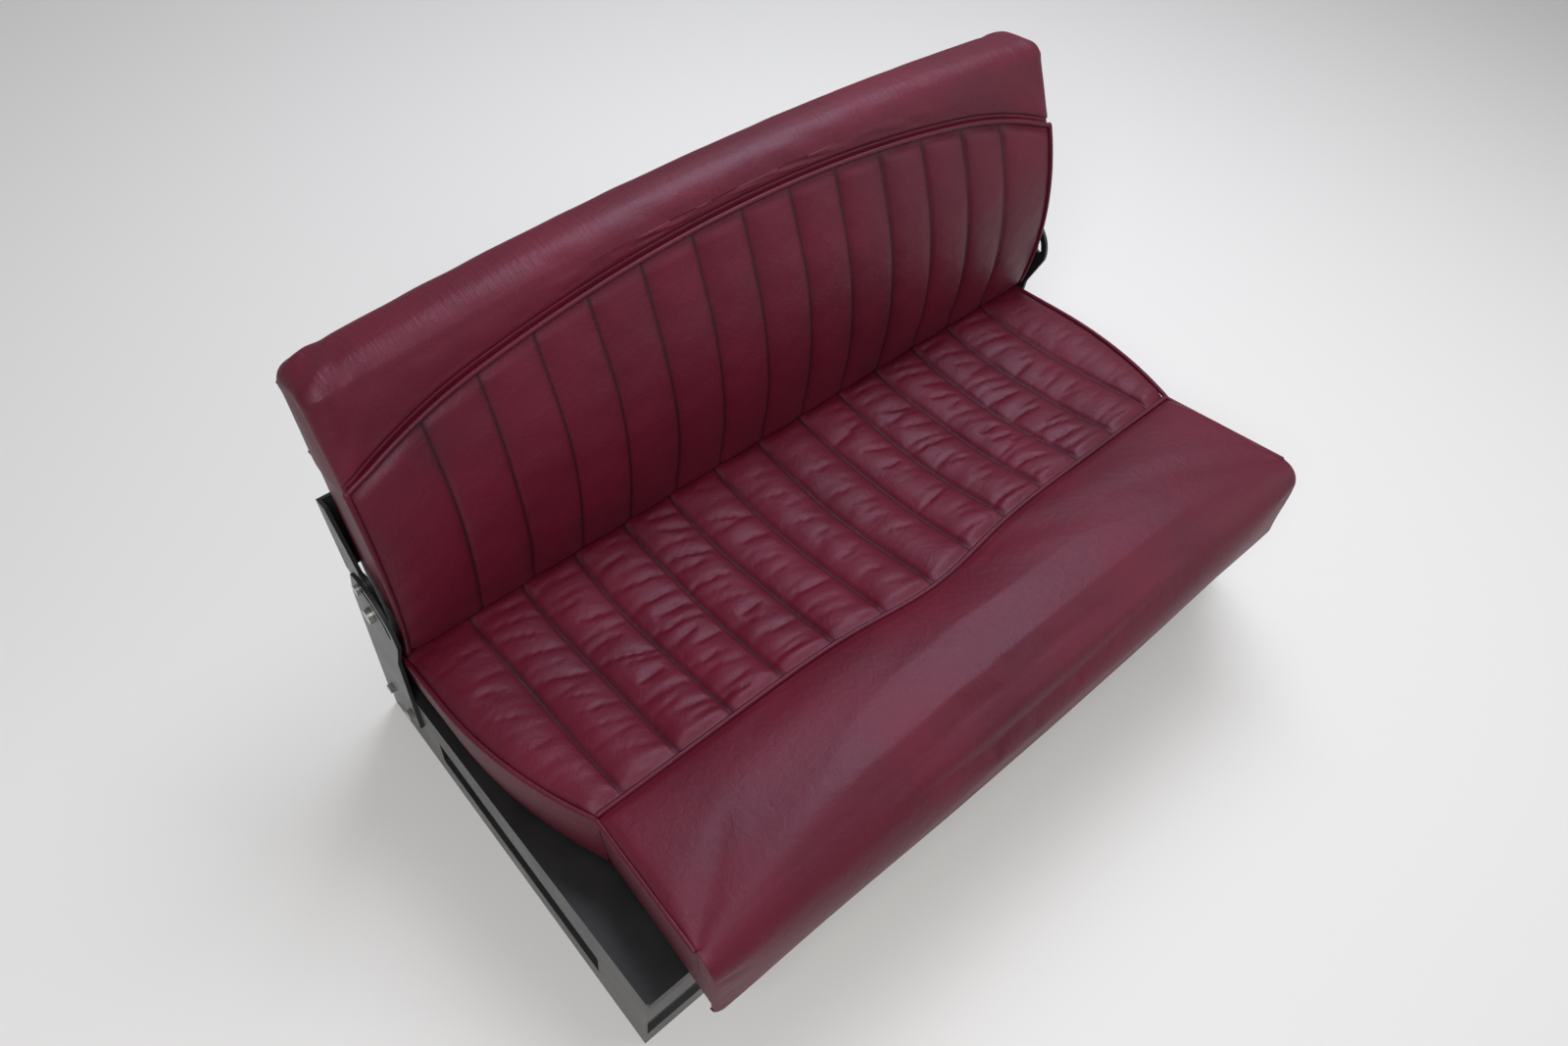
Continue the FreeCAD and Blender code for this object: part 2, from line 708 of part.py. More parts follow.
def chamfer_arch(body):
    """Breaks the front edges along the arch, where the piping lies."""
    doc.recompute()
    base = body.Tip
    names = []
    for number, edge in enumerate(base.Shape.Edges, start=1):
        ends = [v.Point for v in edge.Vertexes]
        on_face = all(abs(p.y - face_at(as_size(p.z)).value) < NEAR for p in ends)
        on_arch = all(arch_end_up.value - NEAR < p.z < arch_top_up.value + 1 for p in ends)
        level = len(ends) > 1 and abs(ends[0].x - ends[1].x) > S.flute_flat.value
        if on_face and on_arch and level:
            names.append("Edge%d" % number)
    feature = body.newObject("PartDesign::Chamfer", base.Name + "_seam")
    feature.Base = (base, names)
    bind(feature, "Size", S.notch)
    doc.recompute()
    return feature


def squab_border():
    """The plain top of the squab: five sections joined along its long crown."""
    body = new_body("squab_border", crease, S.back_recline)
    rear, r = S.back_depth + S.board_thick, S.back_top_r
    low = arch_end_up - WASTE / 4
    half = S.back_half
    sections = []
    for step in (2, 1, 0, -1, -2):
        top = S.back_top_up - S.corner_drop * (step * step / 4)
        side = new_sketch(body, "border_section", "YZ", half * (step / 2))
        lead = face_at(top - r)
        outline(side, (face_at(low), low), [
            ("to", lead, top - r),
            ("on", lead + r, top),
            ("to", rear - r, top),
            ("on", rear, top - r),
            ("to", rear, back_lip_up),
            ("to", S.back_depth, back_lip_up),
            ("to", S.back_depth, low),
            ("to", face_at(low), low),
        ])
        sections.append(side)
    loft = body.newObject("PartDesign::AdditiveLoft", "border_loft")
    loft.Profile = sections[0]
    loft.Sections = sections[1:]
    loft.Ruled = True
    doc.recompute()
    under = new_sketch(body, "border_arch", "XZ")
    lift = S.soft_gap
    end, foot = arch_end_up + lift, low - WASTE
    outline(under, (half + WASTE, foot), [
        ("to", half + WASTE, end),
        ("to", half, end),
    ] + arch_steps(lift) + [
        ("to", -half - WASTE, end),
        ("to", -half - WASTE, foot),
        ("to", half + WASTE, foot),
    ])
    cut(body, under, full_depth, both=True)
    chamfer_arch(body)
    return keep(body)


def squab_arch_piping():
    """The bead along the arch, in the plane of the squab's upper face."""
    place = on_squab(-face_lean, arch_end_up)
    body = new_body("squab_arch_piping", place, S.back_recline + S.upper_face_lean)
    spread = cos_of(S.upper_face_lean)
    end = S.soft_gap / 2
    knee = (arch_knee_up - arch_end_up) / spread + end
    drop = S.knee_drop / spread
    radius = (arch_knee_x * arch_knee_x + drop * drop) / (drop * 2)
    swing = angle_of_sin(arch_knee_x / radius)
    proud = -bead_rise - S.piping_r * 0.4
    hub = (proud, knee + drop - radius, as_size(0))
    bead = hub_sketch(body, "arch_bead", "YZ", hub, (1, 0, 0), swing)
    bead_section(bead, (as_size(0), radius))
    turn(body, bead, "H_Axis", swing * 2, back=True)
    out, sink = S.back_half - S.soft_gap - arch_knee_x, knee - end
    span = out * out + sink * sink
    end_r = span / ((sink * cos_of(swing) - out * sin_of(swing)) * 2)
    end_swing = angle_of_sin(root_of(span) / (end_r * 2)) * 2
    hub = (proud, knee - end_r * cos_of(swing), arch_knee_x - end_r * sin_of(swing))
    end_bead = hub_sketch(body, "arch_end_bead", "YZ", hub, (1, 0, 0), swing + end_swing)
    bead_section(end_bead, (as_size(0), end_r))
    both_sides(body, [turn(body, end_bead, "H_Axis", end_swing, back=True)])
    return keep(body)


def squab_side_piping():
    body = new_body("squab_side_piping_right", crease, S.back_recline)
    out = S.back_half + S.piping_r + S.soft_gap
    bead = hub_sketch(body, "side_bead", "XY", face_hub, (1, 0, 0), -S.upper_face_lean)
    bead_section(bead, (out, -face_r))
    turn(body, bead, "H_Axis", face_half_turn * 2)
    keep(body)
    keep(left_of(body, "squab_side_piping_left"))


def squab_board():
    body = new_body("squab_board", crease, S.back_recline)
    front = new_sketch(body, "back_board", "XZ", -S.back_depth)
    half = S.back_half - S.board_inset / 2
    box(front, (-half, foot_low + S.board_inset / 2), (half, back_lip_up - S.soft_gap))
    pad(body, front, S.board_thick, back=True)
    fillet(body, S.board_corner_r, lambda at, run, edge: abs(run.y) > 0.9 and at.z < S.strap_low.value)
    holes = new_sketch(body, "board_holes", "XZ", -S.back_depth)
    for side in (-1, 1):
        for x, up in strap_bolt_places():
            circle(holes, (x * side, up), S.bolt_r + S.pin_play)
    cut(body, holes, full_depth, both=True)
    return keep(body)


# Hinges. Each right-hand piece is mirrored to the left.

def strap_bolt_places():
    """Bolts through the hinge arm's strap, over the back board."""
    x = S.back_half - (S.strap_reach - S.arm_gap) / 2
    return [(x, S.strap_low + S.strap_edge), (x, S.strap_low + S.strap_height - S.strap_edge)]


def hinge_arm():
    body = new_body("hinge_arm_right", crease, S.back_recline)
    back = S.back_depth + S.board_thick
    rear = back + S.plate_thick
    strap_top = S.strap_low + S.strap_height
    strap_end = arm_out - S.strap_reach
    y, up, r, cap = S.pivot_back, S.pivot_up, S.boss_r, S.stop_boss_r
    stop_up = up + S.stop_radius
    plate = new_sketch(body, "arm_plate", "YZ", arm_in)
    outline(plate, (y - r, up), [
        ("by", y - r * half_root, up - r * half_root, y, up - r),
        ("by", y + r * half_root, up - r * half_root, y + r, up),
        ("to", rear, S.strap_low),
        ("to", rear, strap_top),
        ("to", back - r, strap_top),
        ("to", y + cap * half_root, stop_up + cap * half_root),
        ("by", y, stop_up + cap, y - cap, stop_up),
        ("to", y - r, up),
    ])
    pad(body, plate, S.plate_thick)
    strap = new_sketch(body, "arm_strap", "XZ", -back)
    box(strap, (strap_end, S.strap_low), (arm_out, strap_top))
    pad(body, strap, S.plate_thick, back=True)
    fillet(body, S.strap_corner_r,
           lambda at, run, edge: abs(run.y) > 0.9 and abs(at.x - strap_end.value) < NEAR)
    holes = new_sketch(body, "strap_holes", "XZ", -back)
    for place in strap_bolt_places():
        circle(holes, place, S.bolt_r + S.pin_play)
    cut(body, holes, full_depth, both=True)
    eyes = new_sketch(body, "arm_eyes", "YZ", arm_in)
    circle(eyes, (y, up), S.pivot_r + S.pin_play)
    circle(eyes, (y, stop_up), S.stop_r + S.pin_play / 2)
    cut(body, eyes, S.plate_thick * 3, both=True)
    keep(body)
    keep(left_of(body, "hinge_arm_left"))


def squab_bolts():
    body = new_body("squab_bolts_right", crease, S.back_recline)
    under_head = S.back_depth + S.board_thick + S.plate_thick
    shanks = new_sketch(body, "squab_shanks", "XZ", -under_head)
    heads = new_sketch(body, "squab_heads", "XZ", -under_head)
    for place in strap_bolt_places():
        circle(shanks, place, S.bolt_r)
        polygon(heads, place, S.bolt_head_r, 6)
    pad(body, heads, S.bolt_head, back=True)
    pad(body, shanks, S.plate_thick + S.board_thick - S.soft_gap)
    keep(body)
    keep(left_of(body, "squab_bolts_left"))


def pivot_pin():
    body = new_body("pivot_pin_right", pivot)
    inner = arm_in - S.arm_gap / 2
    washer = arm_out + S.pin_play
    axis = as_size(0)
    half = new_sketch(body, "pivot", "XY")
    outline(half, (inner, axis), [
        ("to", bracket_out + S.pivot_head, axis),
        ("to", bracket_out + S.pivot_head, S.pivot_head_r),
        ("to", bracket_out, S.pivot_head_r),
        ("to", bracket_out, S.pivot_r),
        ("to", bracket_in, S.pivot_r),
        ("to", bracket_in, S.washer_r),
        ("to", washer, S.washer_r),
        ("to", washer, S.pivot_r),
        ("to", inner, S.pivot_r),
        ("to", inner, axis),
    ])
    turn(body, half, "H_Axis", 360)
    keep(body)
    keep(left_of(body, "pivot_pin_left"))


def stop_pin():
    place = on_squab(S.pivot_back, S.pivot_up + S.stop_radius)
    body = new_body("stop_pin_right", place)
    neck = bracket_out + S.plate_gap / 2
    axis = as_size(0)
    half = new_sketch(body, "stop", "XY")
    outline(half, (arm_in, axis), [
        ("to", neck + S.stop_r, axis),
        ("to", neck + S.stop_r, S.stop_head_r),
        ("to", neck, S.stop_head_r),
        ("to", neck, S.stop_r),
        ("to", arm_in, S.stop_r),
        ("to", arm_in, axis),
    ])
    turn(body, half, "H_Axis", 360)
    keep(body)
    keep(left_of(body, "stop_pin_left"))


def on_circle(radius, angle):
    return (radius * cos_of(angle), radius * sin_of(angle))


def hinge_bracket():
    """Quadrant plate: an arc slot about the hinge axis stops the squab both ways."""
    body = new_body("hinge_bracket_right", pivot)
    start = 90 - S.back_recline
    end = start + S.fold_angle
    foot = bracket_foot - pivot[2]
    plate = new_sketch(body, "bracket_plate", "YZ", bracket_in)
    first, last = start - S.bracket_lead, end + S.bracket_lead
    front = -S.bracket_rear
    outline(plate, on_circle(S.bracket_r, first), [
        ("by",) + on_circle(S.bracket_r, (first + last) / 2) + on_circle(S.bracket_r, last),
        ("to", front, -S.bracket_r),
        ("to", front, foot),
        ("to", S.bracket_rear, foot),
        ("to", S.bracket_rear, as_size(0)),
        ("to",) + on_circle(S.bracket_r, first),
    ])
    pad(body, plate, S.plate_thick)
    slot = new_sketch(body, "stop_slot", "YZ", bracket_in)
    reach = S.stop_r + S.stop_play
    inner, outer = S.stop_radius - reach, S.stop_radius + reach
    spill = angle_of_sin(S.stop_play / S.stop_radius)
    a, b = start - spill, end + spill
    outline(slot, on_circle(inner, a), [
        ("into",) + on_circle(outer, a),
        ("by",) + on_circle(outer, (a + b) / 2) + on_circle(outer, b),
        ("on",) + on_circle(inner, b),
        ("by",) + on_circle(inner, (a + b) / 2) + on_circle(inner, a),
    ])
    cut(body, slot, S.plate_thick * 3, both=True)
    holes = new_sketch(body, "bracket_holes", "YZ", bracket_in)
    circle(holes, (as_size(0), as_size(0)), S.pivot_r + S.pin_play)
    for y, z in bracket_bolt_places():
        circle(holes, (y, z - pivot[2]), S.bolt_r + S.pin_play)
    cut(body, holes, S.plate_thick * 3, both=True)
    keep(body)
    keep(left_of(body, "hinge_bracket_left"))


def bracket_bolt_places():
    """Bracket bolts: behind the hinge axis, above the floor."""
    reach = S.bracket_rear - S.strap_edge
    return [(-reach, bracket_foot + S.strap_edge), (reach, bracket_foot + S.strap_edge)]


def bracket_bolts():
    body = new_body("bracket_bolts_right", (0, pivot[1], 0))
    shanks = new_sketch(body, "bracket_shanks", "YZ", bracket_out)
    heads = new_sketch(body, "bracket_heads", "YZ", bracket_out)
    nuts = new_sketch(body, "bracket_nuts", "YZ", side_in)
    for y, z in bracket_bolt_places():
        circle(shanks, (y, z), S.bolt_r)
        polygon(heads, (y, z), S.bolt_head_r, 6)
        polygon(nuts, (y, z), S.bolt_head_r, 6)
    pad(body, heads, S.bolt_head)
    pad(body, shanks, S.plate_thick + S.sheet + S.bolt_head, back=True)
    pad(body, nuts, S.bolt_head, back=True)
    keep(body)
    keep(left_of(body, "bracket_bolts_left"))


# Seat base: pressed sheet, open below.

pan_slope = tan_of(S.pan_tilt)
swage_low, swage_high = pan_z * S.swage_low, pan_z * S.swage_high


def pan_top(y):
    return pan_z - (y - crease_y) * pan_slope


def pan_under(y):
    return pan_top(y) - S.sheet / cos_of(S.pan_tilt)


def seat_pan():
    body = new_body("seat_pan", pan_place, S.pan_tilt)
    spread = cos_of(S.pan_tilt)
    front = -(crease_y + base_half_length + S.sheet) / spread
    rear = (base_half_length - crease_y + S.sheet) / spread
    section = new_sketch(body, "pan_section", "YZ")
    skin = S.sheet
    outline(section, (front, as_size(0)), [
        ("to", front, -S.pan_skirt),
        ("to", front + skin, -S.pan_skirt),
        ("to", front + skin, -skin),
        ("to", rear, -skin),
        ("to", rear, S.pan_lip),
        ("to", rear - skin, S.pan_lip),
        ("to", rear - skin, as_size(0)),
        ("to", front, as_size(0)),
    ])
    pad(body, section, side_in * 2, both=True)
    first = -(side_in - S.rib_edge)
    low = -(crease_y + base_half_length - S.rib_end)
    high = base_half_length - crease_y - S.rib_end
    half = S.rib_width / 2
    swage = new_sketch(body, "pan_swage", "XY", -S.sheet)
    box(swage, (first - half, low), (first + half, high))
    outer = pad(body, swage, S.rib_depth, back=True)
    trough = new_sketch(body, "pan_trough", "XY", -S.rib_depth)
    box(trough, (first - half + skin, low + skin), (first + half - skin, high - skin))
    inner = cut(body, trough, S.rib_depth * 2, back=True)
    row_of(body, [outer, inner], -first * 2, S.rib_count)
    return keep(body)


def wall_section(sketch, face, inward):
    """Folded section of a cross wall; face is its outer plane, inward +1 or -1."""
    skin = face + S.sheet * inward
    reach = face + S.flange * inward
    bead = S.swage_depth * inward
    slant = S.swage_depth
    outline(sketch, (face, as_size(0)), [
        ("to", reach, as_size(0)),
        ("to", reach, S.sheet),
        ("to", skin, S.sheet),
        ("to", skin, swage_low),
        ("to", skin + bead, swage_low + slant),
        ("to", skin + bead, swage_high - slant),
        ("to", skin, swage_high),
        ("to", skin, pan_under(skin) - S.sheet),
        ("to", reach, pan_under(reach) - S.sheet),
        ("to", reach, pan_under(reach)),
        ("to", face, pan_under(face)),
        ("to", face, swage_high),
        ("to", face + bead, swage_high - slant),
        ("to", face + bead, swage_low + slant),
        ("to", face, swage_low),
        ("to", face, as_size(0)),
    ])


def heelboard():
    body = new_body("heelboard")
    section = new_sketch(body, "heel_section", "YZ")
    wall_section(section, -base_half_length, 1)
    pad(body, section, side_in * 2, both=True)
    return keep(body)


def rear_riser():
    body = new_body("rear_riser")
    section = new_sketch(body, "riser_section", "YZ")
    wall_section(section, base_half_length, -1)
    pad(body, section, side_in * 2, both=True)
    return keep(body)


def side_panel():
    body = new_body("side_panel_right")
    wall = new_sketch(body, "side_wall", "YZ", side_in)
    end, clear = base_half_length, base_half_length - S.flange - S.sheet / 3
    outline(wall, (-end, as_size(0)), [
        ("to", end, as_size(0)),
        ("to", end, pan_top(end)),
        ("to", -end, pan_top(-end)),
        ("to", -end, as_size(0)),
    ])
    pad(body, wall, S.sheet)
    low = new_sketch(body, "side_floor_flange", "XY")
    box(low, (side_in - S.flange, -clear), (side_in, clear))
    pad(body, low, S.sheet)
    top = new_sketch(body, "side_top_flange", "YZ", side_in)
    outline(top, (-clear, pan_under(-clear) - S.sheet), [
        ("to", clear, pan_under(clear) - S.sheet),
        ("to", clear, pan_under(clear)),
        ("to", -clear, pan_under(-clear)),
        ("to", -clear, pan_under(-clear) - S.sheet),
    ])
    pad(body, top, S.side_lip, back=True)
    skin = S.sheet
    first, last = -base_half_length + S.rib_end, pivot[1] - S.bracket_rear - S.rib_width
    swage = new_sketch(body, "side_swage", "YZ", side_in)
    box(swage, (first, swage_low), (last, swage_high))
    pad(body, swage, S.swage_depth, back=True)
    trough = new_sketch(body, "side_trough", "YZ", base_half)
    box(trough, (first + skin, swage_low + skin), (last - skin, swage_high - skin))
    cut(body, trough, S.swage_depth)
    floor = new_sketch(body, "floor_holes", "XY")
    for y in (S.floor_hole_in - end, end - S.floor_hole_in):
        circle(floor, (side_in - S.flange / 2, y), S.floor_hole_r)
    cut(body, floor, S.sheet * 4, both=True)
    wall_holes = new_sketch(body, "side_wall_holes", "YZ", side_in)
    for y, z in bracket_bolt_places():
        circle(wall_holes, (pivot[1] + y, z), S.bolt_r + S.pin_play)
    cut(body, wall_holes, S.sheet * 4, both=True)
    keep(body)
    keep(left_of(body, "side_panel_left"))


MAKERS = [
    cushion_fluted_pad, cushion_front_roll, cushion_board, cushion_cross_piping, cushion_side_piping,
    squab_fluted_pad, squab_border, squab_arch_piping, squab_side_piping, squab_board,
    hinge_arm, squab_bolts, pivot_pin, stop_pin, hinge_bracket, bracket_bolts,
    seat_pan, heelboard, rear_riser, side_panel,
]
for make in MAKERS:
    make()
doc.recompute()

failed = [o.Name for o in doc.Objects if "Invalid" in o.State or "Error" in o.State]
failed += [p.Label for p in kept if p.Shape.isNull() or not p.Shape.isValid()]
if failed:
    raise RuntimeError("failed: " + ", ".join(failed))
for piece in kept:
    piece.Shape.exportStep("parts/%s.step" % piece.Label)
    print(piece.Label, len(piece.Shape.Solids), "%.4f l" % (piece.Shape.Volume / 1e6))
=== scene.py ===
import json
import math

import bmesh
import bpy
import numpy as np
from mathutils import Matrix, Vector


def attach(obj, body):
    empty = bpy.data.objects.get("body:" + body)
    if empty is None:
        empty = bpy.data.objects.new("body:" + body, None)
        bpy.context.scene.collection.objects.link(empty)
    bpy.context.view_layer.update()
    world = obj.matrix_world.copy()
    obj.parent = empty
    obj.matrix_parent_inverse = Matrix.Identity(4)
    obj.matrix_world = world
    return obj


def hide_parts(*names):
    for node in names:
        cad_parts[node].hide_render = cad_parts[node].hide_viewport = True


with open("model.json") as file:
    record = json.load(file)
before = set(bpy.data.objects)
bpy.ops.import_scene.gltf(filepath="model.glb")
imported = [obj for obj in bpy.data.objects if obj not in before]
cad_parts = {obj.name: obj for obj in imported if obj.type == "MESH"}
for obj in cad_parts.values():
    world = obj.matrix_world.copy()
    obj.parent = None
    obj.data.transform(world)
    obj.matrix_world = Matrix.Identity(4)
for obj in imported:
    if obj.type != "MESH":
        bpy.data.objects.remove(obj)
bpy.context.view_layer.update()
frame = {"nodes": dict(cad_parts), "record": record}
NODES = frame["nodes"]
MM = 0.001
ABOUT_A_TURN = 6.28  # range of the random phases

# Sizes in millimetres, in the two frames of the upholstery as in the part. Both have their
# origin on the crease and x across. In the cushion's, y runs to the rear along the seat and
# z stands on it. In the squab's, y runs to the rear through it and z runs up along it.
CREASE = (0.0, 190.0, 250.0)
SEAT_TILT = math.radians(10.0)
RECLINE = math.radians(12.9)

FLUTES = 14
FLUTE_COLUMNS = 16  # of a panel's grid, in each flute
SIDE_INSET = 0.5  # of a panel's outermost columns from the half width
SKIN = 1.0  # how far a cover ends above the cushion board
CLEAR = 0.6  # how far a cover ends before the squab board

# Cushion: half widths, and distances forward from the crease.
SEAT_PITCH = 78.8
SEAT_HALF, WAIST_HALF, FRONT_HALF = 562.0, 511.0, 523.0
STRAIGHT, CROSS, LENGTH = 70.0, 318.0, 534.0
FLOOR_RISE, FLOOR_DEPTH = math.radians(5.0), 100.0

# Squab: half widths, depths, heights and the round of its foot about the hinge.
BACK_PITCH = 76.0
BACK_HALF, BACK_DEPTH, BOARD = 556.0, 77.0, 9.0
BORDER_HALF = BACK_HALF + 2.0
PIVOT = (30.0, 75.0)
FOOT_UP, FOOT_R = 16.2, 66.0
ARCH_END, ARCH_KNEE_X, ARCH_KNEE, ARCH_TOP = 289.0, 380.0, 348.0, 383.0
TOP_UP, CORNER_DROP, TOP_R = 432.0, 26.0, 26.0
UPPER_LEAN = math.radians(13.2)

BEAD, BEAD_SIDES, BEAD_STEP = 3.4, 12, 3.0
BEAD_END = 0.25  # share of its radius that a piping has at its very ends
WALL_SHARES = (0.05, 0.15, 0.3, 0.5, 0.7, 0.85, 0.95, 1.0)
# Marks of the walls: no painted seam shade, some crest wear, a little crinkle.
WALL_MARKS = {"seam": 0.0, "crest": 0.4, "crinkle": 0.2}


# Placing and meshing.

def out_of(tilt, points):
    """Millimetres in an upholstery frame to metres in the world."""
    p = np.asarray(points, float)
    s, c = math.sin(tilt), math.cos(tilt)
    y, z = p[..., 1], p[..., 2]
    turned = np.stack([p[..., 0], y * c + z * s, z * c - y * s], -1)
    return turned * MM + np.array(CREASE) * MM


def smooth(t):
    t = np.clip(t, 0, 1)
    return t * t * (3 - 2 * t)


def new_object(name, verts, faces, material, body=None, stands_for=(), marks=None):
    """A mesh object that rides on a body; marks are point attributes for its material."""
    mesh = bpy.data.meshes.new(name)
    mesh.from_pydata([tuple(v) for v in verts], [], [tuple(f) for f in faces])
    for key, values in (marks or {}).items():
        attribute = mesh.attributes.new(key, "FLOAT", "POINT")
        attribute.data.foreach_set("value", np.asarray(values, np.float32))
    shape = bmesh.new()
    shape.from_mesh(mesh)
    bmesh.ops.recalc_face_normals(shape, faces=shape.faces)
    shape.to_mesh(mesh)
    shape.free()
    mesh.shade_smooth()
    mesh.materials.append(material)
    obj = bpy.data.objects.new(name, mesh)
    bpy.context.scene.collection.objects.link(obj)
    if body:
        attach(obj, body)
    if stands_for:
        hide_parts(*stands_for)
    return obj


def grid_faces(rows, cols, flip=False):
    r, c = np.meshgrid(np.arange(rows - 1), np.arange(cols - 1), indexing="ij")
    a = (r * cols + c).ravel()
    quads = np.stack([a, a + 1, a + cols + 1, a + cols], -1)
    return quads[:, ::-1] if flip else quads


def rim(rows, cols):
    """Indices round a grid's edge, in order."""
    top = list(range(cols))
    right = [r * cols + cols - 1 for r in range(1, rows)]
    bottom = [(rows - 1) * cols + c for c in range(cols - 2, -1, -1)]
    left = [r * cols for r in range(rows - 2, 0, -1)]
    return top + right + bottom + left


def denser(a):
    """Doubles a grid by the four-point rule, keeping its own points."""
    for axis in (0, 1):
        a = np.moveaxis(a, axis, 0)
        wide = np.concatenate([2 * a[:1] - a[1:2], a, 2 * a[-1:] - a[-2:-1]])
        out = np.empty((2 * len(a) - 1,) + a.shape[1:])
        out[::2] = a
        out[1::2] = (9 * (wide[1:-2] + wide[2:-1]) - wide[:-3] - wide[3:]) / 16
        a = np.moveaxis(out, 0, axis)
    return a


def marked(count, grids):
    """Point values for a doubled panel, followed by those of the walls below it."""
    values = {}
    for key, grid in grids.items():
        flat = np.clip(denser(np.array(grid, float)), 0, 1).ravel()
        values[key] = np.append(flat, np.full(count - flat.size, WALL_MARKS[key]))
    return values


def closed_cover(grid, rings):
    """A grid with walls of rings hanging from its rim and a cap at the end."""
    rows, cols = grid.shape[:2]
    verts = [grid.reshape(-1, 3)]
    faces = [tuple(f) for f in grid_faces(rows, cols).tolist()]
    last = rim(rows, cols)
    n = len(last)
    base = rows * cols
    for ring in rings:
        verts.append(ring)
        now = list(range(base, base + n))
        for k in range(n):
            j = (k + 1) % n
            faces.append((last[j], last[k], now[k], now[j]))
        last, base = now, base + n
    faces.append(tuple(last))
    return np.vstack(verts), faces


def walls(top, base, out, bulge):
    """Rings from a rim to its base, swollen along out; a short wall stays flat."""
    flat, full = 6.0, 40.0
    reach = np.linalg.norm(base - top, axis=1, keepdims=True)
    out = out * bulge * smooth((reach - flat) / full)
    return [top + (base - top) * s + out * math.sin(math.pi * s) for s in WALL_SHARES]


def edge_of(panel):
    return panel.reshape(-1, 3)[rim(*panel.shape[:2])]


def sideways(edge, share):
    """Outward direction across for the points of an edge, by each one's share."""
    out = np.zeros_like(edge)
    out[:, 0] = np.sign(edge[:, 0]) * share
    return out


def sewn(name, pad, tilt, body, panel, base, out, bulge, **grids):
    """A panel closed with its walls, as the piece that stands for a pad."""
    verts, faces = closed_cover(panel, walls(edge_of(panel), base, out, bulge))
    return new_object(name, out_of(tilt, verts), faces, LEATHER, body, (pad,),
                      marked(len(verts), grids))


# Cloth: a panel grid pinned along its seams, with more leather than its seams have room for.

def pins(shape, columns):
    """Pin weights of a panel: full in its first and last row and in some columns."""
    held = np.zeros(shape)
    held[:, columns] = 1.0
    held[0] = held[-1] = 1.0
    return held


def settle(name, start, rest, held, pressure, flip, frames, cap, bend):
    """Lets a panel find its folds, moved by cap at most; millimetres in and out."""
    rows, cols = start.shape[:2]
    stiff, same_level = 14.0, 0.006
    places = (start.reshape(-1, 3) * MM).tolist()
    mesh = bpy.data.meshes.new(name)
    mesh.from_pydata(places, [], grid_faces(rows, cols, flip).tolist())
    obj = bpy.data.objects.new(name, mesh)
    bpy.context.scene.collection.objects.link(obj)
    obj.shape_key_add(name="Basis")
    key = obj.shape_key_add(name="cut")
    key.data.foreach_set("co", (rest.reshape(-1, 3) * MM).ravel())
    key.value = 0.0
    group = obj.vertex_groups.new(name="held")
    weights = held.ravel()
    for level in np.unique(np.round(weights, 2)):
        if level > 0:
            ids = np.nonzero(np.abs(weights - level) < same_level)[0].tolist()
            group.add(ids, float(level), "REPLACE")
    mod = obj.modifiers.new("cloth", "CLOTH")
    s = mod.settings
    s.quality = 6
    s.mass = 0.35
    s.tension_stiffness = s.compression_stiffness = stiff
    s.shear_stiffness = stiff * 0.5
    s.bending_stiffness = bend
    s.tension_damping = s.compression_damping = 8
    s.air_damping = 2
    s.use_pressure = True
    s.uniform_pressure_force = pressure
    s.vertex_group_mass = "held"
    s.pin_stiffness = 1.0
    s.rest_shape_key = key
    s.effector_weights.gravity = 0
    mod.collision_settings.use_collision = False
    mod.collision_settings.use_self_collision = False
    mod.point_cache.frame_start, mod.point_cache.frame_end = 1, frames
    scene = bpy.context.scene
    for number in range(1, frames + 1):
        scene.frame_set(number)
    seen = obj.evaluated_get(bpy.context.evaluated_depsgraph_get())
    flat = np.empty(rows * cols * 3)
    seen.data.vertices.foreach_get("co", flat)
    bpy.data.objects.remove(obj, do_unlink=True)
    scene.frame_set(1)
    moved = flat.reshape(rows, cols, 3) / MM - start
    size = np.linalg.norm(moved, axis=-1, keepdims=True)
    moved *= np.minimum(1, cap / np.maximum(size, 1e-6))
    return start + moved


# Flutes and folds.

def flute_columns():
    """Columns across: flute number, place 0 to 1 in it, and whether it is an outermost one."""
    number = np.repeat(np.arange(FLUTES), FLUTE_COLUMNS)
    place = np.tile(np.arange(FLUTE_COLUMNS) / FLUTE_COLUMNS, FLUTES)
    number, place = np.append(number, FLUTES - 1), np.append(place, 1.0)
    return number, place, (number == 0) | (number == FLUTES - 1)


def flute_x(number, place, pitch, half):
    """X of each column; the outermost flutes reach to the half width."""
    seams = (np.arange(FLUTES + 1) - FLUTES // 2) * pitch
    seams[0], seams[-1] = -half, half
    left, right = seams[number], seams[number + 1]
    return left + (right - left) * place


def flute_crown(place):
    """Section of one stuffed flute, 0 at the seams and 1 on its crest."""
    flatness, fullness = 2.6, 0.62
    t = np.abs(place * 2 - 1)
    return (1 - t ** flatness) ** fullness


def wander(seams, t, seed, size):
    """A seam never runs quite straight: its slow sideways drift along t."""
    rng = np.random.default_rng(seed)
    phase = rng.uniform(0, ABOUT_A_TURN, FLUTES + 1)[seams]
    pace = rng.uniform(0.6, 1.3, FLUTES + 1)[seams]
    return size * np.sin(t * pace * ABOUT_A_TURN + phase) * np.sin(math.pi * t)


def seam_drift(number, place, t, seed, size):
    """Drift of the columns between two wandering seams."""
    left, right = wander(number, t, seed, size), wander(number + 1, t, seed, size)
    return left * (1 - place) + right * place


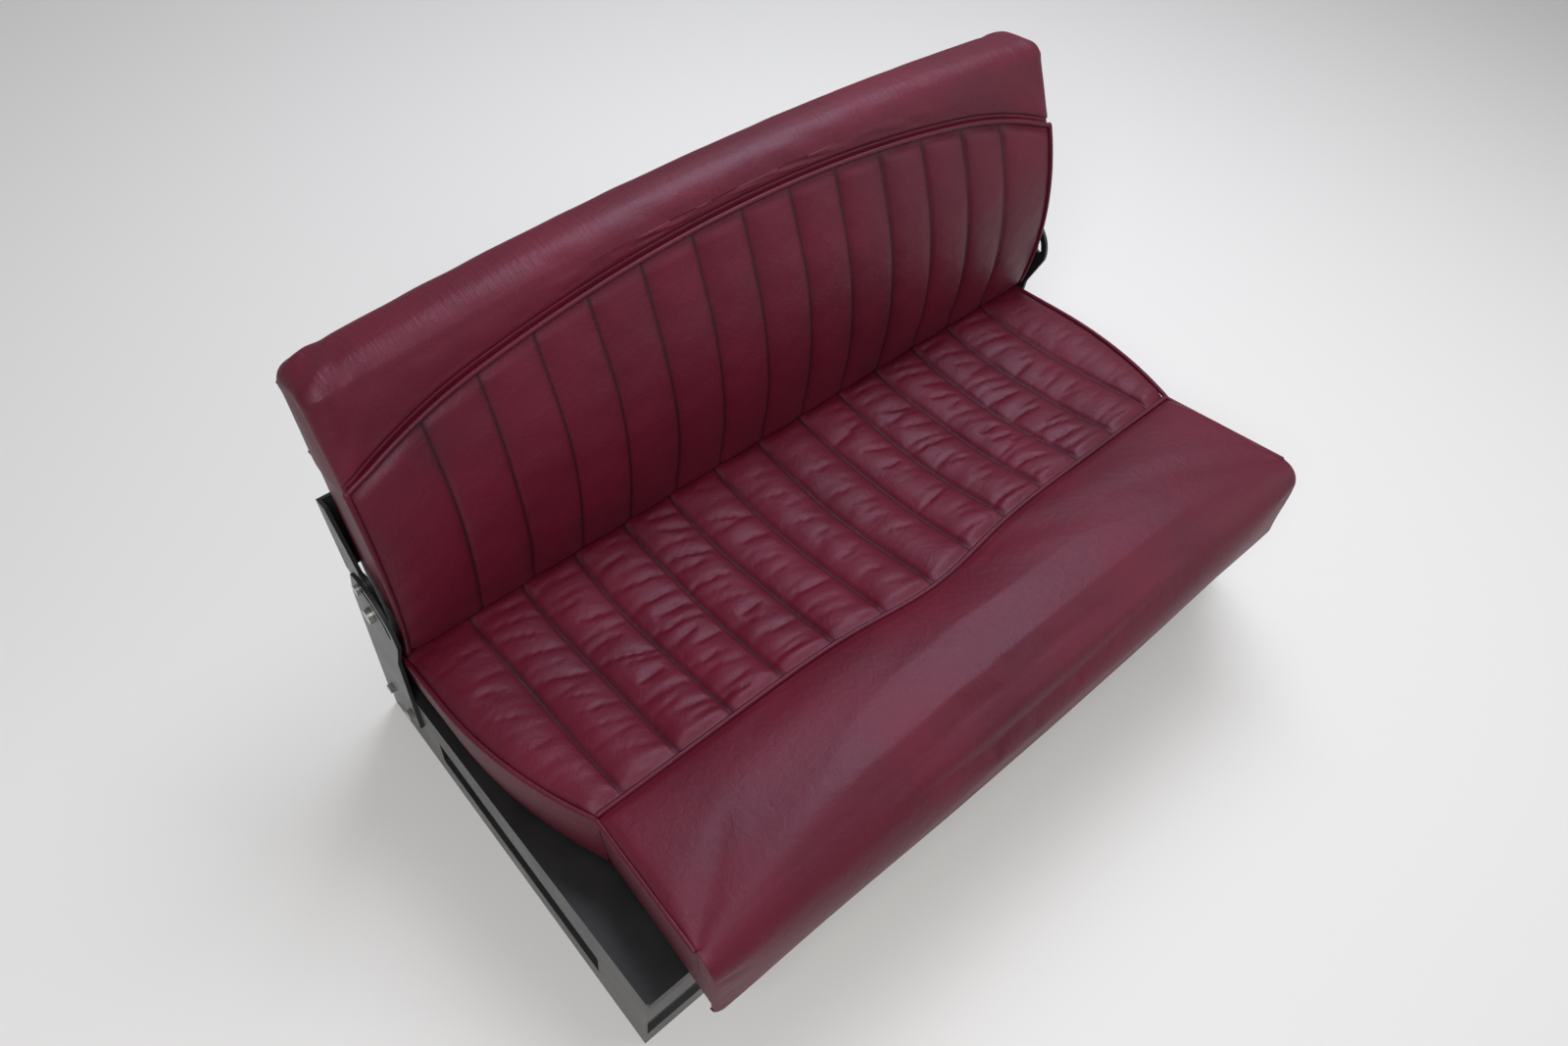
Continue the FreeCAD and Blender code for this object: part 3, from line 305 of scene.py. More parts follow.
def ripple(u, v, seed, waves, low, high, slant):
    """Noise of a few sine waves, each with its own pitch, slant and phase."""
    rng = np.random.default_rng(seed)
    total = np.zeros(np.broadcast(u, v).shape)
    for _ in range(waves):
        k = rng.uniform(low, high)
        a = rng.uniform(-slant, slant)
        run = v * math.cos(a) + u * math.sin(a)
        total = total + np.sin(run * k * 2 * math.pi + rng.uniform(0, ABOUT_A_TURN))
    return total / math.sqrt(waves)


def even_columns(half, count, edge):
    """Columns across, closer together in the last edge millimetres of each side."""
    inner = np.linspace(-1, 1, count) * (half - edge)
    curl = edge * np.sin(np.linspace(0, 1, 8)[1:] * math.pi / 2)
    return np.concatenate([-(half - edge) - curl[::-1], inner, half - edge + curl])


def edge_fall(x, half, edge, drop):
    """Quarter-round drop of a panel towards its sides."""
    t = np.clip(1 - (half - np.abs(x)) / edge, 0, 1)
    return drop * (1 - np.sqrt(np.maximum(1 - t * t, 0)))


# Cushion.

def seat_half(d):
    """Half width of the cushion at a distance forward from the crease."""
    along, across = CROSS - STRAIGHT, SEAT_HALF - WAIST_HALF
    radius = (along ** 2 + across ** 2) / (2 * across)
    bend = SEAT_HALF - radius + np.sqrt(np.maximum(radius ** 2 - (d - STRAIGHT) ** 2, 0))
    flare = WAIST_HALF + (d - CROSS) / (LENGTH - CROSS) * (FRONT_HALF - WAIST_HALF)
    return np.where(d < STRAIGHT, SEAT_HALF, np.where(d < CROSS, bend, flare))


def cross_bow(x):
    """The cross piping runs a little further forward in the middle."""
    middle, width, setback = 20.0, 120.0, 1.5
    return middle * np.exp(-(x / width) ** 2) - setback


def seat_floor(y):
    """Height of the cushion board's top."""
    level = (BOARD - FLOOR_DEPTH * math.cos(FLOOR_RISE)) / math.cos(FLOOR_RISE)
    return y * math.tan(FLOOR_RISE) + level


def seat_dish(d, x):
    """Sag of the fluted top: deepest midway along it, none at the sides."""
    depth, fade = 16.0, 150.0
    t = np.clip(d / CROSS, 0, 1)
    along = 1 - (2 * t - 1) ** 2
    side = smooth((seat_half(np.asarray(d, float)) - np.abs(x)) / fade)
    return -depth * along * side


def seat_folds(number, place, d, seed):
    """Cross folds of the seat's flutes, strongest where two people sit: depth of their
    thin valleys at distances d."""
    first_at, last_gap, step, jitter = 10.0, 14.0, 24.0, 7
    seam_fade, sitting = 0.12, 0.5
    rng = np.random.default_rng(seed)
    d = np.asarray(d, float)[:, None]
    fade = np.clip(place / seam_fade, 0, 1) * np.clip((1 - place) / seam_fade, 0, 1)
    depth = np.zeros((len(d), len(place)))
    for flute in range(FLUTES):
        off = abs(abs((flute + 0.5) / FLUTES * 2 - 1) - sitting)
        strength = 0.3 + 0.7 * smooth(1 - (off - 0.12) / 0.34)
        inside = number == flute
        for at in np.arange(first_at, CROSS - last_gap, step):
            at += rng.uniform(-jitter, jitter)
            slant, sway = rng.uniform(-3, 13), rng.uniform(-3, 3)
            size = rng.uniform(0.35, 1.0) * strength
            width = rng.uniform(3.5, 7.5)
            first = rng.choice([-0.1, -0.1, 0.25])
            last = rng.choice([0.8, 1.1, 1.1])
            line = at + slant * (place * 2 - 1) + sway * np.sin(place * 6)
            body = np.sin(math.pi * np.clip((place - first) / (last - first), 0, 1)) ** 0.8
            depth += inside * size * body * fade * np.exp(-np.abs(d - line) / width)
    return depth


def seat_cover():
    rows, tail = 74, 80.0  # the panel's tail runs back under the squab's foot
    drift, gather, welt_gap = 2.2, 1.05, 0.8
    rise, outer_rise, low_share = 10.0, 8.5, 0.2
    sink, front_sink, front_fade = 5.5, 1.5, 20.0
    side_fall, side_width = 3.0, 22.0
    tail_from, tail_fade, tail_up, tail_flat = 6.0, 26.0, 6.5, 0.75
    swell, swell_at, swell_run = 2.0, 44.0, 10.0
    lip, lip_at, lip_run = 27.0, 48.0, 34.0
    cut_fold, sewn_fold = 3.0, 2.0  # depth of the folds before and after the simulation
    number, place, outer = flute_columns()
    crown = flute_crown(place)
    shares = np.linspace(0, 1, rows)
    run = shares * (CROSS + tail) - tail
    grid = np.zeros((rows, len(number), 3))
    for r, (t, d) in enumerate(zip(shares, run)):
        half = seat_half(np.array(max(d, 0.0)))
        x = flute_x(number, place, SEAT_PITCH, half - SIDE_INSET)
        x = x + np.where(outer, 0, seam_drift(number, place, t, 5, drift))
        forward = d + (cross_bow(x) - welt_gap) * smooth(d / CROSS)
        front = smooth((CROSS - d) / front_fade)
        below = smooth((tail_from - d) / tail_fade)
        flute = np.where(outer, outer_rise, rise) * crown
        height = flute * (low_share + (1 - low_share) * front) * (1 - tail_flat * below)
        fall = lip * smooth((-d - lip_at) / lip_run)
        hem = swell * math.exp(-((d + swell_at) / swell_run) ** 2) - fall
        z = seat_dish(max(d, 0), x) - sink + tail_up * below + hem + height
        z = z - front_sink * (1 - front)
        z = z - np.where(outer, smooth(1 - (half - np.abs(x)) / side_width), 0) * side_fall
        grid[r] = np.stack([x, -forward, z], -1)
    cut = grid.copy()
    cut[..., 1] *= gather
    folds = seat_folds(number, place, run, 12)
    waves = ripple(grid[..., 0], grid[..., 1], 11, waves=9, low=0.012, high=0.03, slant=0.9)
    grid[..., 2] += 0.5 * crown * waves - cut_fold * folds
    held = pins(grid.shape[:2], np.isclose(place, 0) | np.isclose(place, 1))
    held[-2] = np.maximum(held[-2], 0.4)
    under = run < -tail_from
    held[under] = np.maximum(held[under], 0.8)
    top = settle("seat_panel", grid, cut, held, 6.0, True, frames=22, cap=15.0, bend=2.5)
    top[..., 2] -= sewn_fold * folds
    top = denser(top)
    edge = edge_of(top)
    base = edge.copy()
    base[:, 2] = seat_floor(edge[:, 1]) + SKIN
    out = sideways(edge, np.abs(edge[:, 0]) >= seat_half(np.maximum(-edge[:, 1], 0)) - 2.5)
    base[:, 0] -= out[:, 0] * 4.0
    # Painted shade: dark lines on the pinned seams and in the fold valleys.
    seam = np.where(held >= 1.0, 1.0, 0.75 * np.clip(folds, 0, 1))
    seam[0] = 0.0
    piece = sewn("cushion_fluted_cover", "cushion_fluted_pad", SEAT_TILT, "root", top, base, out,
                 3.0, seam=seam, crest=np.broadcast_to(crown, held.shape),
                 crinkle=np.zeros(held.shape))


def roll_cover():
    nose, brow = 30.0, -3.5  # radius of the front edge, and the height where it starts
    lean, lean_run = 8.0, 100.0  # how far the front leans back, and over what height
    hem_r, hem_in, hem_back = 13.0, 9.0, 20.0
    welt_gap, bow_run, crown, fullness = 1.2, 120.0, 9.0, 0.8
    sink, sink_run = 4.0, 16.0
    top_width, front_width, side_fall, corner_fall = 16.0, 14.0, 6.0, 7.0
    share = even_columns(1.0, 141, 0.022)
    rows = []
    for d in np.linspace(CROSS + welt_gap, LENGTH - nose, 34):
        rows.append((d, None))
    for a in np.linspace(0, math.pi / 2, 11)[1:]:
        rows.append((LENGTH - nose + nose * math.sin(a), brow - nose * (1 - math.cos(a))))
    floor = seat_floor(-LENGTH + lean)
    for z in np.linspace(brow - nose, floor + SKIN, 18)[1:]:
        tuck = min(max(1 - (z - floor - SKIN) / hem_r, 0.0), 1.0)
        front = LENGTH - lean * smooth((brow - nose - z) / lean_run)
        rows.append((front - hem_in * (1 - math.sqrt(1 - tuck * tuck)), z))
    grid = np.zeros((len(rows), len(share), 3))
    for r, (d, z) in enumerate(rows):
        half = seat_half(np.array(min(d, LENGTH)))
        x = share * (half - SIDE_INSET)
        forward = d + (cross_bow(x) + welt_gap) * (1 - smooth((d - CROSS) / bow_run))
        if z is None:
            t = (d - CROSS) / (LENGTH - nose - CROSS)
            pinch = sink * (1 - smooth((d - CROSS) / sink_run))
            height = brow * t + crown * math.sin(math.pi * t) ** fullness - pinch
            level = height - edge_fall(x, half, top_width, corner_fall + height)
        else:
            level = np.full_like(x, z)
            forward = forward - edge_fall(x, half, front_width, side_fall)
        grid[r] = np.stack([x, -forward, level], -1)
    cut = grid.copy()
    cut[..., 0] *= 1.012
    cut[..., 1] = (cut[..., 1] + CROSS) * 1.02 - CROSS
    waves = ripple(grid[..., 0], grid[..., 1], 23, waves=8, low=0.006, high=0.02, slant=1.2)
    grid[..., 2] += 0.5 * waves
    held = pins(grid.shape[:2], [0, -1])
    held[1:-1, 1:4] = held[1:-1, -4:-1] = 0.6
    top = denser(settle("roll_panel", grid, cut, held, 2.2, True, frames=22, cap=10.0, bend=5.0))
    edge = edge_of(top)
    base = edge.copy()
    base[:, 2] = seat_floor(edge[:, 1]) + SKIN
    base[:, 1] = np.maximum(base[:, 1], -(LENGTH - hem_back))
    out = sideways(edge, np.abs(edge[:, 0]) > WAIST_HALF - 3.0)
    base[:, 0] -= out[:, 0] * 4.0
    # Painted shade along the cross seam, on the panel's back row.
    seam = np.zeros(held.shape)
    seam[0] = 1.0
    piece = sewn("cushion_front_roll_cover", "cushion_front_roll", SEAT_TILT, "root", top, base,
                 out, 3.0, seam=seam, crest=np.full(held.shape, 0.75),
                 crinkle=np.full(held.shape, 0.15))


# Squab: its face is an arc up to the arch's ends and straight above, and the arch is a
# middle arc and two end arcs that meet it at the knees.

FACE_LEAN = (ARCH_TOP - ARCH_END) * math.tan(UPPER_LEAN)
FACE_RUN = ARCH_END - FOOT_UP
FACE_TURN = UPPER_LEAN + math.atan(FACE_LEAN / FACE_RUN)
FACE_R = math.hypot(FACE_LEAN, FACE_RUN) / 2 / math.sin(FACE_TURN)
FACE_HUB = (FACE_R * math.cos(UPPER_LEAN) - FACE_LEAN, ARCH_END - FACE_R * math.sin(UPPER_LEAN))
KNEE_SINK = ARCH_TOP - ARCH_KNEE
ARCH_R = (ARCH_KNEE_X ** 2 + KNEE_SINK ** 2) / KNEE_SINK / 2
KNEE_TURN = math.asin(ARCH_KNEE_X / ARCH_R)
END_OUT, END_SINK = BACK_HALF - ARCH_KNEE_X, ARCH_KNEE - ARCH_END
END_SPAN = END_SINK * math.cos(KNEE_TURN) - END_OUT * math.sin(KNEE_TURN)
END_R = (END_OUT ** 2 + END_SINK ** 2) / END_SPAN / 2
END_HUB = (ARCH_KNEE_X - END_R * math.sin(KNEE_TURN), ARCH_KNEE - END_R * math.cos(KNEE_TURN))


def arch(x):
    """Height of the arch piping's seam."""
    x = np.minimum(np.abs(x), BACK_HALF)
    middle = ARCH_TOP - ARCH_R + np.sqrt(ARCH_R ** 2 - np.minimum(x, ARCH_KNEE_X) ** 2)
    beyond = np.maximum(x, ARCH_KNEE_X) - END_HUB[0]
    end = END_HUB[1] + np.sqrt(END_R ** 2 - beyond ** 2)
    return np.where(x < ARCH_KNEE_X, middle, end)


def squab_top(x):
    return TOP_UP - CORNER_DROP * (np.abs(x) / BACK_HALF) ** 2


def on_face(z):
    """Depth of the squab's front face at a height, with its normal (y, z)."""
    z = np.asarray(z, float)
    low = np.minimum(z, ARCH_END)
    reach = np.sqrt(FACE_R ** 2 - (low - FACE_HUB[1]) ** 2)
    y = np.where(z < ARCH_END, FACE_HUB[0] - reach, (z - ARCH_TOP) * math.tan(UPPER_LEAN))
    ny = np.where(z < ARCH_END, -reach / FACE_R, -math.cos(UPPER_LEAN))
    nz = np.where(z < ARCH_END, (low - FACE_HUB[1]) / FACE_R, math.sin(UPPER_LEAN))
    return y, ny, nz


def back_cover():
    rise, sink, drift, gather, welt_gap = 5.5, 5.0, 1.2, 1.022, 1.6
    foot_rows, foot_run, foot_flat, foot_rise, foot_sink = 8, 30.0, 3.2, 2.3, 1.8
    top_sink, top_fade, low_share = 1.5, 18.0, 0.15
    side_width, side_fall = 16.0, 4.0
    number, place, outer = flute_columns()
    crown = flute_crown(place)
    x0 = flute_x(number, place, BACK_PITCH, BACK_HALF - SIDE_INSET)

    def rounded(x, h):
        """Takes the outermost flutes down towards the squab's sides."""
        return h - np.where(outer, edge_fall(x, BACK_HALF, side_width, side_fall + h), 0)

    rows = []
    for s in np.linspace(0, 1, 64):
        x = x0 + np.where(outer, 0, seam_drift(number, place, s, 8, drift))
        top = arch(x) - welt_gap
        z = top + (FOOT_UP - top) * s
        y, ny, nz = on_face(z)
        near = smooth((top - z) / top_fade)
        foot = foot_flat * smooth((FOOT_UP + foot_run - z) / foot_run)
        flute = (rise - foot) * crown * (low_share + (1 - low_share) * near)
        h = rounded(x, (-sink + foot) + flute - top_sink * (1 - near))
        rows.append(np.stack([x, y + ny * h, z + nz * h], -1))
    start = math.atan2(FOOT_UP - PIVOT[1], -PIVOT[0])
    for a in np.linspace(start, -math.pi / 2, foot_rows)[1:]:
        ny, nz = math.cos(a), math.sin(a)
        h = rounded(x0, -foot_sink + foot_rise * crown)
        y, z = PIVOT[0] + FOOT_R * ny + ny * h, PIVOT[1] + FOOT_R * nz + nz * h
        rows.append(np.stack([x0, y, z], -1))
    grid = np.array(rows)
    cut = grid.copy()
    cut[..., 2] *= gather
    waves = ripple(grid[..., 0], grid[..., 2], 31, waves=9, low=0.008, high=0.03, slant=0.7)
    grid[..., 1] -= 0.45 * crown * waves
    held = pins(grid.shape[:2], np.isclose(place, 0) | np.isclose(place, 1))
    held[-foot_rows:] = np.maximum(held[-foot_rows:], 0.8)
    top = denser(settle("back_panel", grid, cut, held, 3.0, True, frames=20, cap=10.0, bend=2.0))
    edge = edge_of(top)
    base = edge.copy()
    base[:, 1] = BACK_DEPTH - CLEAR
    out = sideways(edge, np.abs(edge[:, 0]) > BACK_HALF - 1.5)
    base[:, 0] -= out[:, 0] * 3.0
    # Painted shade along the pinned seams, none on the foot's last row.
    seam = np.where(held >= 1.0, 1.0, 0.0)
    seam[-1] = 0.0
    piece = sewn("squab_fluted_cover", "squab_fluted_pad", RECLINE, "squab", top, base, out, 3.0,
                 seam=seam, crest=np.broadcast_to(crown, held.shape),
                 crinkle=np.full(held.shape, 0.1))


def border_rows(x):
    """The border's rows from the arch over the top to the rear: depth, height, turn of its
    outward side, fullness and how far it has rolled over. Where the depth is None the row
    lies on the face, and its turn is its distance from the arch instead."""
    welt_gap, near_run = 1.8, 14.0
    top, r, rear = squab_top(x), TOP_R, BACK_DEPTH + BOARD
    start = arch(x) + welt_gap
    lead = (top - r - ARCH_TOP) * math.tan(UPPER_LEAN)
    high = top - r - start
    lip, away, rolled = 388.4, 99.0, 0.35
    near = [0, 1.5, 3, 4.5, 6, 7.5, 9, 11, 13.5]
    rows = []
    for off in near:
        rows.append((None, start + off, off, smooth(off / near_run), rolled * off / near[-1]))
    for s in np.linspace(0, 1, 11)[1:]:
        up = start + near[-1] + (high - near[-1]) * s
        rows.append((None, up, away, 1.0, rolled + (1 - rolled) * s))
    for a in np.linspace(UPPER_LEAN, math.pi / 2, 10)[1:]:
        rows.append((lead + r - r * math.cos(a), top - r + r * math.sin(a), a, 1.0, 1.0))
    for s in np.linspace(0, 1, 6)[1:-1]:
        rows.append((lead + r + (rear - lead - 2 * r) * s, top, math.pi / 2, 1.0, 1.0))
    for a in np.linspace(math.pi / 2, 0, 10):
        rows.append((rear - r + r * math.cos(a), top - r + r * math.sin(a), math.pi - a,
                     1.0, 1.0))
    for s in np.linspace(0, 1, 6)[1:]:
        down = top - r + (lip - top + r) * s
        rows.append((rear * np.ones_like(x), down, math.pi, 1 - 0.8 * s, 0.8))
    return rows


def border_cover():
    stitched, stitched_off = 5, 7.5  # the row of the stitched line, and its distance up
    groove_depth, groove_half = 1.8, 1.5
    face_rows, row_run, hem = 9, 6.0, 384.0
    rise, sink, pucker = 1.5, 3.5, 0.8
    corner_in, corner_run = 34.0, 26.0
    x = even_columns(BORDER_HALF, 141, 26.0)
    rows = border_rows(x)
    grid = np.zeros((len(rows), len(x), 3))
    corner = np.exp(-((BACK_HALF - corner_in - np.abs(x)) / corner_run) ** 2)
    for k, (y, z, turn, full, roll) in enumerate(rows):
        groove = 0.0
        if y is None:
            groove = groove_depth * math.exp(-((turn - stitched_off) / groove_half) ** 2)
            y, turn = (z - ARCH_TOP) * math.tan(UPPER_LEAN), UPPER_LEAN
        drop, width = 9.0 + 10.0 * roll, 14.0 + 12.0 * roll
        puckers = ripple(np.abs(x), k * 5.0 + 0 * x, 47, waves=5, low=0.025, high=0.05,
                         slant=1.3)
        h = -sink * (1 - full) + rise * full - groove - edge_fall(x, BORDER_HALF, width, drop)
        h = h + pucker * roll * corner * puckers
        grid[k] = np.stack([x, y - math.cos(turn) * h, z + math.sin(turn) * h], -1)
    cut = grid.copy()
    cut[..., 0] *= 1.012
    cut[..., 2] = ARCH_END + (cut[..., 2] - ARCH_END) * 1.02
    along = np.broadcast_to(np.arange(len(rows))[:, None] * row_run, grid.shape[:2])
    waves = ripple(grid[..., 0], along, 41, waves=8, low=0.006, high=0.022, slant=1.0)
    grid[face_rows:, :, 1] -= 0.5 * waves[face_rows:]
    held = pins(grid.shape[:2], [0, -1])
    held[1:stitched + 2, 1:-1] = 0.7
    held[stitched] = 1.0
    held[1:-1, 1:3] = held[1:-1, -3:-1] = 0.6
    panel = settle("border_panel", grid, cut, held, 1.2, False, frames=20, cap=6.0, bend=3.0)
    panel = denser(panel)
    edge = edge_of(panel)
    base = edge.copy()
    base[:, 1] = BACK_DEPTH - CLEAR
    base[:, 2] = np.minimum(edge[:, 2], hem)
    beside = np.abs(edge[:, 0]) > BORDER_HALF - 1.0
    out = sideways(edge, beside * smooth((392.0 - edge[:, 2]) / 30.0))
    base[:, 0] -= out[:, 0] * 3.0
    # Painted shade at the arch seam and in the stitched groove.
    seam = np.zeros(held.shape)
    seam[0], seam[stitched] = 1.0, 0.85
    crinkle = np.array([row[4] for row in rows])[:, None] * np.ones(held.shape)
    piece = sewn("squab_border_cover", "squab_border", RECLINE, "squab", panel, base, out, 4.0,
                 seam=seam, crest=np.full(held.shape, 0.75), crinkle=crinkle)


def back_tacks():
    """Domed nails that hold the leathercloth on the back board, clear of the hinge straps."""
    high, low, side, across = 366.0, 64.0, 532.0, np.linspace(-500, 500, 17)
    dome = ((6.0, -0.2), (5.6, 1.0), (4.2, 2.0), (2.2, 2.6))
    sides = 12
    spots = [(x, z) for z in (high, low) for x in across]
    spots += [(s * side, z) for s in (-1, 1) for z in (240.0, 292.0, 344.0)]
    verts, faces = [], []
    for x, z in spots:
        base = len(verts)
        for radius, lift in dome:
            for k in range(sides):
                a = k / sides * 2 * math.pi
                verts.append((x + radius * math.cos(a), BACK_DEPTH + BOARD + lift,
                              z + radius * math.sin(a)))
        for ring in range(len(dome) - 1):
            for k in range(sides):
                j = (k + 1) % sides
                a, b = base + ring * sides, base + (ring + 1) * sides
                faces.append((a + k, a + j, b + j, b + k))
        for end in (base, base + (len(dome) - 1) * sides):
            faces.append(tuple(end + k for k in range(sides)))
    new_object("squab_back_tacks", out_of(RECLINE, verts), faces, AGED, "squab")


# Piping.

def tube(path):
    """Closed bead along a path of points, drawn in at its two ends."""
    n = len(path)
    run = np.gradient(path, axis=0)
    run /= np.linalg.norm(run, axis=1, keepdims=True)
    side = np.cross(run[0], (0.0, 0.0, 1.0) if abs(run[0][2]) < 0.9 else (1.0, 0.0, 0.0))
    verts, faces = [], []
    angles = np.arange(BEAD_SIDES) / BEAD_SIDES * 2 * math.pi
    for k in range(n):
        side = side - run[k] * (side @ run[k])
        side /= np.linalg.norm(side)
        up = np.cross(run[k], side)
        r = BEAD * (BEAD_END if k in (0, n - 1) else 1.0)
        verts.extend(path[k] + r * (np.cos(angles)[:, None] * side
                                    + np.sin(angles)[:, None] * up))
    for k in range(n - 1):
        now, then = k * BEAD_SIDES, (k + 1) * BEAD_SIDES
        for j in range(BEAD_SIDES):
            i = (j + 1) % BEAD_SIDES
            faces.append((now + j, now + i, then + i, then + j))
    for end in (0, (n - 1) * BEAD_SIDES):
        faces.append(tuple(end + j for j in range(BEAD_SIDES)))
    return np.array(verts), faces


def resample(points, step):
    """The same line with its points about a step apart."""
    lengths = np.append(0, np.cumsum(np.linalg.norm(np.diff(points, axis=0), axis=1)))
    at = np.linspace(0, lengths[-1], max(int(lengths[-1] / step), 4))
    return np.stack([np.interp(at, lengths, points[:, k]) for k in range(3)], -1)


def piping():
    beside = 1.6  # from a panel's half width to its piping's middle
    x = np.linspace(-WAIST_HALF - 1, WAIST_HALF + 1, 260)
    sway = 0.5 * ripple(x, 0 * x, 3, waves=7, low=0.002, high=0.01, slant=0.6)
    cross = np.stack([x, -(CROSS + 0.2 + cross_bow(x)), -2.6 + sway], -1)
    beads = [("cushion_cross_welt", SEAT_TILT, cross, "root", "cushion_cross_piping")]
    for side, word in ((1, "right"), (-1, "left")):
        d = np.linspace(-20, LENGTH - 30, 300)
        half = seat_half(np.maximum(d, 0))
        line = np.stack([side * (half + beside), -d, np.full_like(d, -6.6)], -1)
        beads.append(("cushion_side_welt_" + word, SEAT_TILT, line, "root",
                      "cushion_side_piping_" + word))
        z = np.linspace(FOOT_UP - 4, ARCH_END + 4, 160)
        y = on_face(z)[0] + 3.6
        line = np.stack([np.full_like(z, side * (BACK_HALF + beside)), y, z], -1)
        beads.append(("squab_side_welt_" + word, RECLINE, line, "squab",
                      "squab_side_piping_" + word))
    x = np.linspace(-BACK_HALF - beside, BACK_HALF + beside, 320)
    z = arch(x) + 0.1
    lean = -0.3 + 3.9 * smooth((np.abs(x) - BACK_HALF + 34.0) / 34.0)
    line = np.stack([x, (z - ARCH_TOP) * math.tan(UPPER_LEAN) + lean, z], -1)
    beads.append(("squab_arch_welt", RECLINE, line, "squab", "squab_arch_piping"))
    for name, tilt, line, body, node in beads:
        verts, faces = tube(resample(line, BEAD_STEP))
        new_object(name, out_of(tilt, verts), faces, WELT, body, (node,))


# Materials.

class Look:
    """A material, with the nodes that feed its shader."""

    def __init__(self, name):
        self.material = bpy.data.materials.new(name)
        self.material.use_nodes = True
        tree = self.material.node_tree
        self.nodes, self.links = tree.nodes, tree.links
        self.shader = self.nodes["Principled BSDF"]

    def feed(self, node, inputs):
        """Fills a node's inputs by name: a socket is linked, anything else is a value."""
        for key, value in inputs.items():
            if isinstance(value, bpy.types.NodeSocket):
                self.links.new(value, node.inputs[key])
            else:
                node.inputs[key].default_value = value

    def add(self, kind, output, inputs):
        """A new node with its inputs filled; returns one of its outputs."""
        node = self.nodes.new("ShaderNode" + kind)
        self.feed(node, inputs)
        return node.outputs[output]

    def mark(self, name):
        node = self.nodes.new("ShaderNodeAttribute")
        node.attribute_name = name
        return node.outputs["Fac"]

    def cells(self, vector, scale):
        node = self.nodes.new("ShaderNodeTexVoronoi")
        node.feature = "DISTANCE_TO_EDGE"
        self.feed(node, {"Vector": vector, "Scale": scale})
        return node.outputs["Distance"]

    def maths(self, operation, first, second):
        node = self.nodes.new("ShaderNodeMath")
        node.operation = operation
        self.feed(node, {0: first, 1: second})
        return node.outputs[0]

    def mix(self, factor, a, b):
        node = self.nodes.new("ShaderNodeMix")
        node.data_type = "RGBA"
        self.feed(node, {"Factor": factor, "A": a, "B": b})
        return node.outputs["Result"]

    def ramp(self, factor, *stops):
        node = self.nodes.new("ShaderNodeValToRGB")
        for element, (position, colour) in zip(node.color_ramp.elements, stops):
            element.position = position
            element.color = (*colour, 1)
        self.feed(node, {"Fac": factor})
        return node.outputs["Color"]

    def between(self, value, low, high):
        return self.add("MapRange", "Result", {"Value": value, "To Min": low, "To Max": high})

    def bump(self, height, strength, distance, over=None):
        inputs = {"Height": height, "Strength": strength, "Distance": distance}
        if over is not None:
            inputs["Normal"] = over
        return self.add("Bump", "Normal", inputs)


def leather_material(name, base, dark, light, grain):
    """Leather with a mottled tone, worn crests, painted shade along its seams and fold valleys,
    pores and fine creases.
    """
    look = Look(name)
    at = look.add("TexCoord", "Object", {})
    tone = look.add("TexNoise", "Fac", {"Vector": at, "Scale": 7.0, "Detail": 6.0})
    worn = look.mix(look.maths("MULTIPLY", look.mark("crest"), 0.35),
                    look.ramp(tone, (0.3, dark), (0.72, base)), (*light, 1))
    # Painted shade: the seam mark darkens the colour towards a quarter of the dark tone along
    # seams and in fold valleys.
    seam_shaded = look.mix(look.maths("POWER", look.mark("seam"), 3.0), worn,
                     (*[c * 0.25 for c in dark], 1))
    pores = look.bump(look.cells(at, 620.0), grain, 0.0005)
    across = look.add("Mapping", "Vector", {"Vector": at, "Scale": (150.0, 14.0, 14.0)})
    lines = look.add("TexNoise", "Fac", {"Vector": across, "Scale": 1.0, "Detail": 3.0,
                                         "Distortion": 1.2})
    fine = look.bump(look.maths("MULTIPLY", lines, look.mark("crinkle")), 0.4, 0.002, pores)
    folds = look.add("TexNoise", "Fac", {"Vector": at, "Scale": 55.0, "Detail": 4.0,
                                         "Distortion": 1.2})
    look.feed(look.shader, {"Base Color": seam_shaded, "Roughness": look.between(tone, 0.42, 0.57),
                            "Specular IOR Level": 0.38, "Specular Tint": (0.86, 0.82, 1.0, 1),
                            "Normal": look.bump(folds, 0.25, 0.003, fine)})
    return look.material


def metal_material(name, colour, metallic, rough, scale):
    """Sprayed or plated metal: uneven sheen, faint scuffs and a fine surface."""
    look = Look(name)
    at = look.add("TexCoord", "Object", {})
    noise = look.add("TexNoise", "Fac", {"Vector": at, "Scale": scale, "Detail": 8.0})
    fine = look.add("TexNoise", "Fac", {"Vector": at, "Scale": 900.0})
    tone = look.ramp(noise, (0.35, [c * 0.75 for c in colour]), (0.7, colour))
    look.feed(look.shader, {"Metallic": metallic, "Base Color": tone,
                            "Roughness": look.between(noise, rough - 0.08, rough + 0.12),
                            "Normal": look.bump(fine, 0.12, 0.0004)})
    return look.material


def plywood_material():
    look = Look("birch_plywood")
    at = look.add("TexCoord", "Object", {})
    along = look.add("Mapping", "Vector", {"Vector": at, "Scale": (1.2, 16.0, 16.0)})
    grain = look.add("TexNoise", "Fac", {"Vector": along, "Scale": 6.0, "Detail": 7.0,
                                         "Distortion": 0.8})
    tone = look.ramp(grain, (0.0, (0.36, 0.22, 0.11)), (1.0, (0.62, 0.45, 0.27)))
    look.feed(look.shader, {"Base Color": tone, "Roughness": 0.7,
                            "Normal": look.bump(grain, 0.2, 0.0006)})
    return look.material


